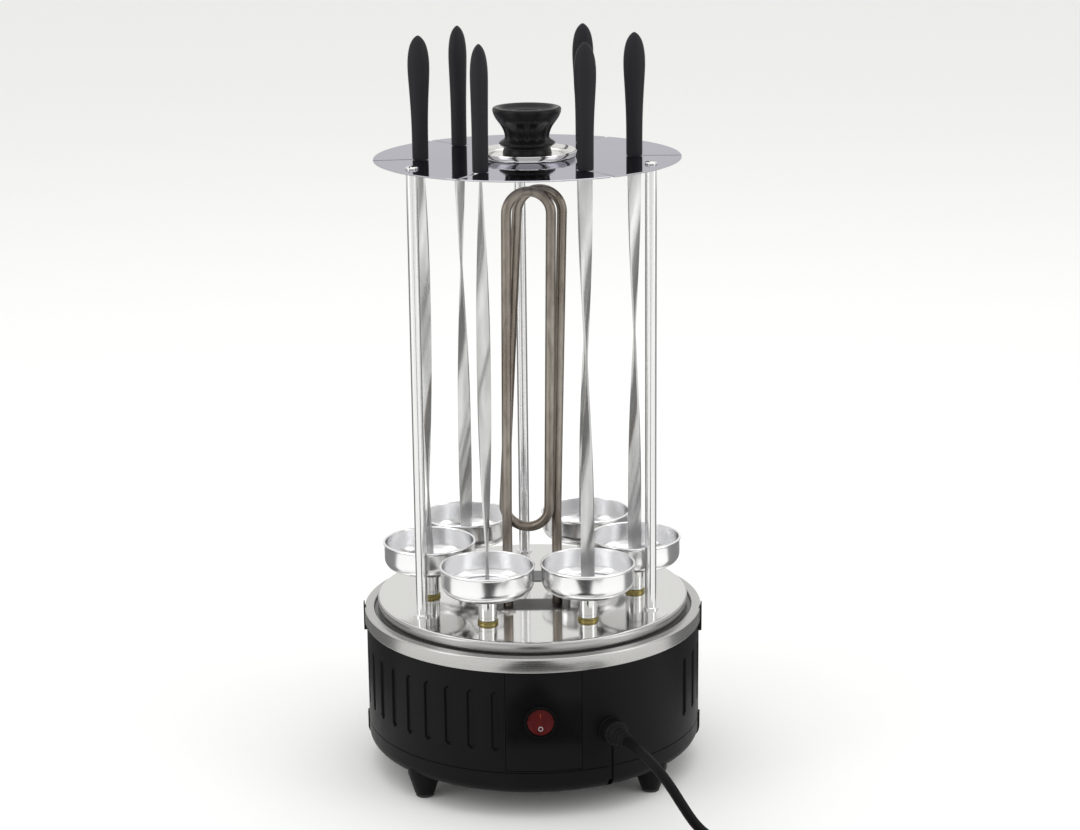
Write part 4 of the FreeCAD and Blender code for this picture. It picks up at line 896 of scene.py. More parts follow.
# ---------------------------------------------------------------- camera, floor and light
@dataclass
class Studio:
    """A pale floor, soft light and the camera.

    Attributes:
        distance: how far the camera stands in front of the middle axis.
        height: the camera's height above the table.
        pitch: how far it looks down.
        roll: how far it leans to one side.
        lens: its focal length.
        shift: its sideways shift, as a share of the film.
        film: the film's width.
        floor_side: the floor's width in metres.
        floor_level: the floor's height in metres.
        room_colour: colour of the light from all round.
        room_strength: strength of the light from all round.
        flag_half: half the front flag's width.
        flag_near: where the flags begin, from the middle axis.
        flag_far: where they end.
        flag_levels: their lower and upper height.
        flag_tone: grey of the front flag.
        fan_turns: plan angles between which a side flag lies.
        fan_tone: grey of the side flags.
    """

    distance: float = 1654.9
    height: float = 688.46
    pitch: float = 14.729
    roll: float = -0.6886
    lens: float = 81.31
    shift: float = 0.0089
    film: float = 36.0
    floor_side: float = 30.0
    floor_level: float = -0.0003
    room_colour: Colour = (0.872, 0.872, 0.86)
    room_strength: float = 1.04
    flag_half: float = 80.0
    flag_near: float = 220.0
    flag_far: float = 2600.0
    flag_levels: tuple[float, float] = (0.2, 1.2)
    flag_tone: float = 0.03
    fan_turns: tuple[float, float] = (88.0, 148.0)
    fan_tone: float = 0.2

    def camera(self) -> None:
        """Set up the camera in front of the grill."""
        data = bpy.data.cameras.new("camera")
        data.lens = self.lens
        data.sensor_width = self.film
        data.shift_x = self.shift
        data.clip_end = 60.0
        data.dof.use_dof = False
        camera = bpy.data.objects.new("camera", data)
        bpy.context.scene.collection.objects.link(camera)
        camera.matrix_world = (
            Matrix.Translation((0, -self.distance * MM, self.height * MM))
            @ Matrix.Rotation(math.radians(90 - self.pitch), 4, "X")
            @ Matrix.Rotation(math.radians(self.roll), 4, "Z"))
        bpy.context.scene.camera = camera

    def floor(self) -> None:
        """Lay a large pale floor under the feet."""
        bpy.ops.object.select_all(action="DESELECT")
        bpy.ops.mesh.primitive_plane_add(size=self.floor_side,
                                         location=(0, 0, self.floor_level))
        floor = Bench.named("floor")
        sheet = NodeSheet("floor_pale")
        sheet.set(Base_Color=(0.92, 0.92, 0.912, 1.0), Roughness=0.9, Specular_IOR_Level=0.1)
        floor.data.materials.append(sheet.material)

    def flags(self) -> None:
        """Lay dark flags on the floor that only bright metal mirrors."""
        low, high = self.flag_levels
        strip = Bench.block("flag_front", (-self.flag_half, -self.flag_far, low),
                            (self.flag_half, -self.flag_near, high))
        self.darken(strip, self.flag_tone)
        for name, side in (("flag_left", -1), ("flag_right", 1)):
            fan = Bench.turn(name, [(self.flag_near, low), (self.flag_far, low),
                                    (self.flag_far, high), (self.flag_near, high)], sides=72)
            first, last = self.fan_turns
            Bench.drop(fan, lambda c, side=side: not first < side * plan_turn(c) < last)
            self.darken(fan, self.fan_tone)

    @staticmethod
    def darken(flag: bpy.types.Object, tone: float) -> None:
        """Dress a flag dark and hide it from all but mirrored rays.

        Args:
            flag: the flag.
            tone: its grey.
        """
        sheet = NodeSheet(f"{flag.name}_dark")
        sheet.set(Base_Color=(tone, tone, tone, 1.0), Roughness=1.0, Specular_IOR_Level=0.0)
        flag.data.materials.append(sheet.material)
        flag.visible_camera = flag.visible_diffuse = flag.visible_shadow = False

    def panel(self, name: str, place: Vector, target: Vector, size: tuple[float, float],
              power: float) -> None:
        """Hang one soft panel of light.

        Args:
            name: the light's name.
            place: where it hangs, in metres.
            target: what it faces, in metres.
            size: width and height in metres.
            power: watts.
        """
        data = bpy.data.lights.new(name, "AREA")
        data.shape = "RECTANGLE"
        data.size, data.size_y = size
        data.energy = power
        lamp = bpy.data.objects.new(name, data)
        bpy.context.scene.collection.objects.link(lamp)
        way = (target - place).to_track_quat("-Z", "Y").to_matrix().to_4x4()
        lamp.matrix_world = Matrix.Translation(place) @ way

    def light(self) -> None:
        """Hang the panels and set the room's own light."""
        middle = Vector((0.0, 0.0, 0.25))
        self.panel("light_top", Vector((0.0, 0.2, 2.4)), middle, (2.6, 2.6), 16.0)
        self.panel("light_left", Vector((-2.0, -1.1, 1.1)), middle, (0.9, 2.2), 9.0)
        self.panel("light_right", Vector((2.0, -0.9, 1.1)), middle, (0.9, 2.2), 8.0)
        world = bpy.data.worlds.new("room")
        bpy.context.scene.world = world
        world.use_nodes = True
        background = world.node_tree.nodes["Background"]
        background.inputs["Color"].default_value = (*self.room_colour, 1.0)
        background.inputs["Strength"].default_value = self.room_strength
        bpy.context.scene.view_settings.view_transform = "Standard"


# ---------------------------------------------------------------- drum base
@dataclass
class DrumCase:
    """The moulded case: fluted wall, smooth switch panel, pan and feet.

    Attributes:
        pitches: how many flutes would go right round.
        columns: faces across one pitch.
        flutes: how many flutes there are.
        first_flute: plan angle of the flute left of the panel.
        flute_lip: depth of a flute's first soft step.
        flute_end: height of a flute's narrower end.
        flute_insets: widths of the steps down into a flute.
        flute_reach: half a flute's width in columns.
        flute_end_reach: the same at its ends.
        panel_turns: plan angles of the panel's sides.
        panel_levels: heights of the panel's foot and top.
        panel_rows: heights of the edges between its rows of faces.
        slot_foot: height of the foot of the cord's slot.
        edge_round: radius of the pan's lower edge.
        vent_reach: where the vents begin and end, from the middle axis.
        skirt: how far a foot's skirt reaches up the pan's side.
        skirt_gap: how deep the skirt stands in the pan's skin.
    """

    radius: float = CASE_RADIUS
    wall: float = 2.5
    pitches: int = 43
    columns: int = 12
    flutes: int = 35
    first_flute: float = -12.8
    flute_low: float = 48.3
    flute_high: float = 91.7
    flute_depth: float = 1.3
    flute_lip: float = 0.25
    flute_end: float = 1.5
    flute_insets: tuple[float, float, float] = (0.35, 0.45, 0.4)
    flute_reach: float = 2.05
    flute_end_reach: float = 1.05
    panel_turns: tuple[float, float] = (-9.5, 16.0)
    panel_levels: tuple[float, float] = (34.8, 106.6)
    panel_rows: tuple[float, float] = (60.0, 82.0)
    panel_gap: float = 0.25
    switch_hole: float = 10.5
    gland_bore: float = 6.3
    slot_width: float = 3.6
    slot_foot: float = 18.6
    pan_sheet: float = 2.5
    edge_round: float = 8.0
    vents: int = 12
    vent_half: float = 2.5
    vent_reach: tuple[float, float] = (46.0, 78.0)
    screw_hole: float = 2.0
    foot_radius: float = 11.5
    skirt: float = 5.0
    skirt_gap: float = 0.03

    def skin(self, name: str, levels: Sequence[float], start: float) -> bpy.types.Object:
        """Make the open outer skin of the wall with edges at each level.

        Args:
            name: the skin's name.
            levels: heights of its edges, foot and top included.
            start: how far its first edge is turned.

        Returns:
            The skin.
        """
        sides = self.pitches * self.columns
        bpy.ops.object.select_all(action="DESELECT")
        bpy.ops.mesh.primitive_cylinder_add(
            vertices=sides, radius=self.radius * MM, end_fill_type="NOTHING",
            depth=(levels[-1] - levels[0]) * MM,
            location=(0, 0, (levels[0] + levels[-1]) / 2 * MM),
            rotation=(0, 0, math.radians(start)))
        skin = Bench.named(name)
        bpy.ops.object.mode_set(mode="EDIT")
        for level in levels[1:-1]:
            bpy.ops.mesh.select_all(action="SELECT")
            bpy.ops.mesh.bisect(plane_co=(0, 0, level * MM), plane_no=(0, 0, 1))
        bpy.ops.object.mode_set(mode="OBJECT")
        return skin

    @staticmethod
    def split_at(piece: bpy.types.Object, turn: float) -> None:
        """Cut edges into the skin along an upright line at a plan angle.

        Args:
            piece: the skin.
            turn: the line's plan angle.
        """
        angle = math.radians(turn)
        Bench.pick(piece, lambda c: abs(plan_turn(c) - turn) < 20)
        bpy.ops.mesh.bisect(plane_co=(0, 0, 0),
                            plane_no=(math.cos(angle), math.sin(angle), 0))
        bpy.ops.object.mode_set(mode="OBJECT")

    def flute_faces(self, point: Vector) -> bool:
        """Tell whether a face of the skin lies in one of the flutes.

        Args:
            point: the face's centre.

        Returns:
            True inside a flute.
        """
        if not self.flute_low < point.z < self.flute_high:
            return False
        pitch = 360.0 / self.pitches
        steps = (self.first_flute - plan_turn(point)) / pitch % self.pitches
        nearest = round(steps)
        if nearest >= self.flutes and nearest != self.pitches:
            return False
        from_end = min(point.z - self.flute_low, self.flute_high - point.z)
        reach = self.flute_end_reach if from_end < self.flute_end else self.flute_reach
        half = pitch / self.columns * reach
        return abs(steps - nearest) * pitch < half

    def make_wall(self) -> None:
        """Make the fluted wall with its openings for the panel and the cord."""
        low, high, end = self.flute_low, self.flute_high, self.flute_end
        levels = [SEAM, self.panel_levels[0], low, low + end, high - end, high,
                  self.panel_levels[1], CASE_TOP]
        step = 360.0 / (self.pitches * self.columns)
        wall = self.skin("side_wall", levels, self.first_flute % step)
        Bench.pick(wall, self.flute_faces)
        depths = (self.flute_lip, self.flute_depth - self.flute_lip, 0.0)
        for inset, depth in zip(self.flute_insets, depths):
            bpy.ops.mesh.inset(thickness=inset * MM, depth=-depth * MM)
        bpy.ops.object.mode_set(mode="OBJECT")
        for turn in self.panel_turns:
            self.split_at(wall, turn)
        first, last = self.panel_turns
        bottom, top = self.panel_levels
        Bench.drop(wall, lambda c: first < plan_turn(c) < last and bottom < c.z < top)
        Bench.apply(wall, "SOLIDIFY", thickness=self.wall * MM, offset=-1.0,
                    use_even_offset=True)
        Bench.carve(wall, [self.cord_slot("wall_slot"), self.gland_hole()])
        fit(wall, "base", Finishes.CASE, "side_housing", angle=24.0)

    def cord_slot(self, name: str) -> bpy.types.Object:
        """Make the cutter for the slot that the cord drops into from below.

        Args:
            name: the cutter's name.

        Returns:
            The cutter.
        """
        half = self.slot_width / 2
        tool = Bench.block(name, (-half, -(self.radius + 4), self.slot_foot),
                           (half, -(self.radius - 9), GLAND_HEIGHT))
        return Bench.move(tool, Matrix.Rotation(math.radians(GLAND_TURN), 4, "Z"))

    def gland_hole(self) -> bpy.types.Object:
        """Make the cutter for the round hole behind the gland.

        Returns:
            The cutter.
        """
        tool = Bench.rod("gland_cut", self.gland_bore, -6, 4)
        return Bench.move(tool, outward_place(self.radius, GLAND_TURN, GLAND_HEIGHT))

    def make_panel(self) -> None:
        """Make the smooth panel that carries the switch."""
        slip = math.degrees(self.panel_gap / self.radius)
        first, last = self.panel_turns[0] + slip, self.panel_turns[1] - slip
        bottom = self.panel_levels[0] + self.panel_gap
        top = self.panel_levels[1] - self.panel_gap
        panel = self.skin("front_panel", [bottom, *self.panel_rows, top], 0.0)
        for turn in (first, last):
            self.split_at(panel, turn)
        Bench.drop(panel, lambda c: not first < plan_turn(c) < last)
        Bench.apply(panel, "SOLIDIFY", thickness=self.wall * MM, offset=-1.0,
                    use_even_offset=True)
        Bench.soften(panel, 0.35, 2, 60.0)
        hole = Bench.move(Bench.rod("panel_cut", self.switch_hole, -6, 4),
                          outward_place(self.radius, SWITCH_TURN, SWITCH_HEIGHT))
        Bench.carve(panel, [hole])
        fit(panel, "base", Finishes.PANEL, "switch_panel", angle=24.0)

    def pan_edge(self) -> Profile:
        """Give the pan's outline from its middle to the top of the rounded lower edge.

        Returns:
            The outline as radius and height.
        """
        centre = (self.radius - self.edge_round, PAN_BOTTOM + self.edge_round)
        return [(0, PAN_BOTTOM), (40, PAN_BOTTOM), (84, PAN_BOTTOM),
                *arc_points(centre, self.edge_round, -90, 0, 8)]

    def make_pan(self) -> None:
        """Make the pan with its rounded lower edge, vents and screw holes."""
        outer, inner = self.radius, self.radius - self.wall
        pan = Bench.turn("pan", self.pan_edge() + [
                             (outer, SEAM - 0.9), (outer - 0.3, SEAM - 0.6),
                             (outer - 1, SEAM - 0.6), (outer - 1, SEAM), (inner, SEAM),
                             (inner, SEAM + 4.2), (inner - 2.2, SEAM + 4.2),
                             (inner - 2.2, PAN_BOTTOM + self.pan_sheet),
                             (0, PAN_BOTTOM + self.pan_sheet)],
                         sides=192, closed=False)
        cutters = [self.cord_slot("pan_slot")]
        low, high = PAN_BOTTOM - 2, PAN_BOTTOM + 2 * self.pan_sheet
        near, far = self.vent_reach
        for index in range(self.vents):
            vent = Bench.block("vent_cut", (-self.vent_half, -far, low),
                               (self.vent_half, -near, high))
            Bench.soften(vent, 2.2, 4, 60.0)
            cutters.append(Bench.move(
                vent, Matrix.Rotation(math.radians(360 / self.vents * index), 4, "Z")))
        for turn in FOOT_TURNS:
            x, y = plan_point(FOOT_CIRCLE, turn)
            cutters.append(Bench.rod("hole_cut", self.screw_hole, low, high, x, y, 24))
        Bench.carve(pan, cutters)
        fit(pan, "base", Finishes.CASE, "bottom_pan", angle=30.0)

    def pan_core(self) -> bpy.types.Object:
        """Make the pan's own form, which the feet's skirts are cut to.

        Returns:
            The core.
        """
        top = PAN_BOTTOM + self.skirt + 4
        outline = [(max(radius - self.skirt_gap, 0), height + self.skirt_gap)
                   for radius, height in self.pan_edge()]
        return Bench.turn("pan_core", outline + [(self.radius, top), (0, top)],
                          sides=192, closed=False)

    def make_feet(self) -> None:
        """Make the four conical feet and their rubber pads."""
        foot = Bench.turn("foot", [
            (2.0, PAN_BOTTOM), (2.0, PAN_BOTTOM - 4), (4.3, PAN_BOTTOM - 4), (4.3, 2),
            (6.8, 2), (self.foot_radius, PAN_BOTTOM),
            (self.foot_radius, PAN_BOTTOM + self.skirt),
            (8.0, PAN_BOTTOM + self.skirt), (8.0, PAN_BOTTOM)], sides=48)
        Bench.soften(foot, 0.35)
        pad = Bench.turn("pad", [(4.3, 0), (6.2, 0), (6.2, 2), (4.3, 2)], sides=48)
        Bench.soften(pad, 0.3)
        for name, pattern, finish, node in (("feet_cones", foot, Finishes.CASE, "feet"),
                                            ("feet_pads", pad, Finishes.PAD, "foot_pads")):
            twins = Bench.deal(pattern, name, FOOT_CIRCLE, FOOT_TURNS)
            if node == "feet":
                for twin in twins:
                    Bench.carve(twin, [self.pan_core()])
            fit(Bench.gather(name, twins), "base", finish, node)

    def make(self) -> None:
        """Make every piece of the case."""
        self.make_wall()
        self.make_panel()
        self.make_pan()
        self.make_feet()


class Mark(Enum):
    """The two generic marks on the rocker."""

    ON = "bar"
    OFF = "ring"


@dataclass
class RockerSwitch:
    """The round rocker switch in its bezel.

    Attributes:
        bezel: the bezel's outer radius.
        barrel: radius behind the bezel.
        depth: the barrel's depth.
        bore: the bezel's inner radius.
        cap: the rocker's radius.
        tilt: slant of each half of the rocker.
        valley: height of the hollow where the halves meet.
        mark_rise: thickness of a mark.
        mark_sink: height of a mark's foot.
    """

    bezel: float = 11.4
    barrel: float = 10.4
    depth: float = 17.0
    bore: float = 9.3
    cap: float = 9.0
    tilt: float = 7.0
    valley: float = 0.6
    mark_rise: float = 0.12
    mark_sink: float = 0.02

    def place(self, tilt: float = 0.0) -> Matrix:
        """Give the switch's place on the case."""
        return outward_place(CASE_RADIUS, SWITCH_TURN, SWITCH_HEIGHT, tilt)

    def make_body(self) -> None:
        """Make bezel and barrel in one."""
        body = Bench.turn("bezel", [
            (0, -self.depth), (self.barrel, -self.depth), (self.barrel, 0),
            (self.bezel, 0), (self.bezel, 1.0),
            *arc_points((self.bezel - 0.9, 0.9), 0.9, 0, 90, 5), (self.bore + 0.5, 1.8),
            (self.bore, 1.3), (self.bore, -8), (0, -8)], sides=96, closed=False)
        blades = []
        for side in (-5.0, 5.0):
            blade = Bench.block("blade", (-3.1, side - 0.4, -self.depth - 8),
                                (3.1, side + 0.4, -self.depth + 1))
            Bench.soften(blade, 0.15, 1)
            blades.append(blade)
        whole = Bench.gather("switch_bezel", [body] + blades)
        fit(Bench.move(whole, self.place()), "base", Finishes.BEZEL, "switch_body")

    def make_rocker(self) -> None:
        """Make the rocking cap from a ball with two slanted faces."""
        bpy.ops.object.select_all(action="DESELECT")
        bpy.ops.mesh.primitive_uv_sphere_add(segments=64, ring_count=32,
                                             radius=self.cap * MM)
        cap = Bench.named("rocker_cap")
        wedge, other = (
            Bench.move(Bench.block("wedge", (-15, -15, 0), (15, 15, 15)),
                       Matrix.Translation((0, 0, self.valley * MM))
                       @ Matrix.Rotation(math.radians(lean), 4, "X"))
            for lean in (-self.tilt, self.tilt))
        Bench.apply(wedge, "BOOLEAN", object=other, operation="INTERSECT", solver="EXACT")
        bpy.data.objects.remove(other)
        Bench.carve(cap, [wedge])
        Bench.soften(cap, 0.25, 2, 30.0)
        pins = Bench.rod("pins", 1.0, -10, 10)
        Bench.move(pins, Matrix.Rotation(math.radians(90), 4, "Y"))
        whole = Bench.gather("rocker", [cap, pins])
        fit(Bench.move(whole, self.place(-self.tilt)), "rocker", Finishes.ROCKER,
            "switch_rocker")

    def make_mark(self, mark: Mark) -> None:
        """Print one raised mark on the rocker's face; the ON bar's orange colour is painted lamp
        glow.

        Args:
            mark: which mark.
        """
        rise = self.mark_rise
        if mark is Mark.ON:
            raised = Bench.block("mark", (-0.35, 2.6, 0.0), (0.35, 5.8, rise))
            finish, lean = Finishes.PAINTED_GLOW, self.tilt
        else:
            raised = Bench.turn("mark", [(1.1, 0.0), (1.65, 0.0), (1.65, rise),
                                         (1.1, rise)], sides=40)
            Bench.move(raised, Matrix.Translation((0, -4.6 * MM, 0)))
            finish, lean = Finishes.MARK, -self.tilt
        seat = (Matrix.Translation((0, 0, (self.valley + self.mark_sink) * MM))
                @ Matrix.Rotation(math.radians(lean), 4, "X"))
        raised.name = f"rocker_mark_{mark.value}"
        fit(Bench.move(raised, self.place(-self.tilt) @ seat), "rocker", finish)

    def make(self) -> None:
        """Make the whole switch."""
        self.make_body()
        self.make_rocker()
        for mark in Mark:
            self.make_mark(mark)


# ---------------------------------------------------------------- ring and deck
@dataclass
class TopDeck:
    """The bright ring and the polished lid with its rolled edge.

    Attributes:
        ring_radius: the ring's outer radius.
        sheet: thickness of ring and lid.
        band_foot: height of the ring's lower edge.
        flange: width of the ring's top and step.
        deck_radius: the lid's radius.
        groove: gap between lid and ring.
        roll: radius of the lid's edge.
        rod_slip: gap round a rod.
    """

    ring_radius: float = 120.0
    sheet: float = 0.8
    band_foot: float = 106.0
    flange: float = 12.0
    deck_radius: float = 110.4
    groove: float = 2.6
    roll: float = 2.4
    post_hole: float = 6.65
    leg_hole: float = 4.0
    rod_slip: float = 0.05

    def make_ring(self) -> None:
        """Make the ring over the top edge of the case, stepped down round the lid; the faces in
        the step round the lid are darkened as painted shade.
        """
        edge, sheet = self.ring_radius, self.sheet
        step = self.deck_radius + self.groove
        ring = Bench.turn("bright_ring", [
            (edge - sheet, self.band_foot), (edge - 0.15, self.band_foot),
            (edge, self.band_foot + 0.3), (edge, FLANGE_TOP - 1.6),
            *arc_points((edge - 1.2, FLANGE_TOP - 1.2), 1.2, 0, 90, 6),
            (edge - 2.4, FLANGE_TOP), (step + 0.5, FLANGE_TOP), (step, FLANGE_TOP - 0.5),
            (step, LIP_TOP), (edge - self.flange, LIP_TOP),
            (edge - self.flange, LIP_TOP - sheet), (step + sheet, LIP_TOP - sheet),
            (step + sheet, CASE_TOP), (edge - sheet - 0.4, CASE_TOP),
            (edge - sheet, CASE_TOP - 0.4)], sides=256)
        fit(ring, "base", Finishes.RING, "trim_ring", angle=28.0)
        # painted shade: the faces in the groove round the lid take the dark steel
        Finishes.dress_part(ring, Finishes.GROOVE_SHADE, lambda radius, height: (
            radius < step + 0.2 and height < FLANGE_TOP - 0.4))

    def make_lid(self) -> None:
        """Make the lid and pierce it for posts, rods and heater; its rolled side takes a darker
        copy of the lid's steel as painted shade.
        """
        edge, sheet, roll = self.deck_radius, self.sheet, self.roll
        centre = (edge - roll, DECK_TOP - roll)
        lid = Bench.turn("deck_lid", [
            (0, DECK_TOP), (40, DECK_TOP), (edge - roll - 1.0, DECK_TOP),
            *arc_points(centre, roll, 90, 0, 8), (edge, LIP_TOP + 0.4),
            (edge - 0.2, LIP_TOP), (edge - sheet, LIP_TOP),
            *arc_points(centre, roll - sheet, 0, 90, 6), (40, DECK_UNDER),
            (0, DECK_UNDER)], sides=256, closed=False)
        low, high = DECK_UNDER - 2, DECK_TOP + 2
        cutters = []
        for turn in CUP_TURNS:
            x, y = plan_point(SPINDLE_CIRCLE, turn)
            cutters.append(Bench.rod("cut", self.post_hole, low, high, x, y))
        for turn in ROD_TURNS:
            x, y = plan_point(ROD_CIRCLE, turn)
            cutters.append(Bench.rod("cut", ROD_RADIUS + self.rod_slip, low, high, x, y))
        for x, y in HEATER_LEGS:
            cutters.append(Bench.rod("cut", self.leg_hole, low, high, x, y))
        Bench.carve(lid, cutters)
        fit(lid, "base", Finishes.DECK, "deck_plate", angle=28.0)
        # painted shade: the rolled side below the top is given the darker steel
        Finishes.dress_part(lid, Finishes.ROLL_SHADE, lambda radius, height: (
            radius > edge - roll and height < DECK_TOP - 0.5))

    def make(self) -> None:
        """Make ring and lid."""
        self.make_ring()
        self.make_lid()


# ---------------------------------------------------------------- spindles and cups
@dataclass
class SpindleSet:
    """Six turning posts in brass bushes, each with its drip cup.

    Attributes:
        post: radius of the post above the bush.
        spigot: radius of its end in the cup's neck.
        seat: its radius in the bush.
        journal: its radius in the bearing plate.
        barrel: radius of the bush below the lid.
        collar: radius of its collar.
        running_gap: gap between collar and shoulder.
        slot_half: half the width of the skewer's slot.
        cup_round: radius of the curve between a cup's floor and side.
    """

    post: float = 6.5
    spigot: float = 5.9
    seat: float = 5.5
    journal: float = 4.0
    barrel: float = 6.6
    collar: float = 7.2
    collar_rise: float = 2.2
    post_foot: float = 100.5
    journal_top: float = 104.3
    running_gap: float = 0.05
    slot_half: float = 1.1
    cup_radius: float = 32.8
    cup_wall: float = 0.9
    cup_round: float = 8.5

    def make_bushes(self) -> None:
        """Make the brass bushes with a groove turned into each collar."""
        inner, top = self.seat + 0.06, DECK_TOP + self.collar_rise
        pattern = Bench.turn("bush", [
            (inner, DECK_TOP - 6), (self.barrel, DECK_TOP - 6), (self.barrel, DECK_TOP),
            (self.collar, DECK_TOP), (self.collar, DECK_TOP + 0.8),
            (self.collar - 0.3, DECK_TOP + 1.0), (self.collar - 0.3, DECK_TOP + 1.2),
            (self.collar, DECK_TOP + 1.4), (self.collar, top - 0.4),
            (self.collar - 0.4, top), (inner, top)], sides=64)
        twins = Bench.deal(pattern, "bush", SPINDLE_CIRCLE, CUP_TURNS)
        fit(Bench.gather("bushes", twins), "base", Finishes.BRASS, "spindle_bushes",
            angle=25.0)

    def make_posts(self) -> None:
        """Make the posts, each with a slot for its skewer's point."""
        foot = DECK_TOP + self.collar_rise + self.running_gap
        profile = [
            (0, self.post_foot), (self.journal - 0.3, self.post_foot),
            (self.journal, self.post_foot + 0.3), (self.journal, self.journal_top),
            (self.seat, self.journal_top), (self.seat, foot),
            (self.post - 0.3, foot), (self.post, foot + 0.3), (self.post, DECK_TOP + 4.4),
            (self.post - 0.3, DECK_TOP + 4.6), (self.post - 0.3, DECK_TOP + 5.0),
            (self.post, DECK_TOP + 5.2), (self.post, POST_TOP - 0.3),
            (self.post - 0.3, POST_TOP), (self.spigot, POST_TOP),
            (self.spigot, POST_END - 0.5), (self.spigot - 0.5, POST_END), (0, POST_END)]
        pattern = Bench.turn("post", profile, sides=64, closed=False)
        slot = Bench.block("slot", (-5.0, -self.slot_half, SOCKET_FLOOR),
                           (5.0, self.slot_half, POST_END + 2))
        Bench.carve(pattern, [slot])
        for index, (turn, skewer) in enumerate(zip(CUP_TURNS, SKEWER_TURNS), start=1):
            spin = skewer + TWIST
            post = Bench.copy(pattern, f"post_{index}",
                              round_place(SPINDLE_CIRCLE, turn, spin))
            fit(post, f"spindle_{index}", Finishes.CHROME, f"spindle_{index}", angle=25.0)
        bpy.data.objects.remove(pattern)

    def make_cups(self) -> None:
        """Make the pressed cups with rolled rims and a neck round the post."""
        wall, curve = self.cup_wall, self.cup_round
        side = self.cup_radius - 0.8
        bore, foot, top = self.spigot + 0.1, POST_TOP, CUP_TOP
        rim = self.cup_radius - 0.9
        profile = [
            (bore, foot), (side - curve - 1, foot),
            *arc_points((side - curve, foot + curve), curve, -90, 0, 12),
            (side, top - 2.6), *arc_points((rim, top - 0.9), 0.9, -60, 180, 10),
            (side - wall, top - 1.8),
            *arc_points((side - curve, foot + curve), curve - wall, 0, -90, 12),
            (bore + wall + 1.2, foot + wall), (bore + wall + 0.2, foot + wall + 0.7),
            (bore + wall, foot + 5.1), (bore + wall - 0.4, foot + 5.5),
            (bore, foot + 5.5)]
        pattern = Bench.turn("cup", profile, sides=128)
        for index, turn in enumerate(CUP_TURNS, start=1):
            cup = Bench.copy(pattern, f"drip_cup_{index}", round_place(SPINDLE_CIRCLE, turn))
            fit(cup, f"cup_{index}", Finishes.CUP, f"cup_{index}", angle=40.0)
        bpy.data.objects.remove(pattern)

    def make(self) -> None:
        """Make bushes, posts and cups."""
        self.make_bushes()
        self.make_posts()
        self.make_cups()


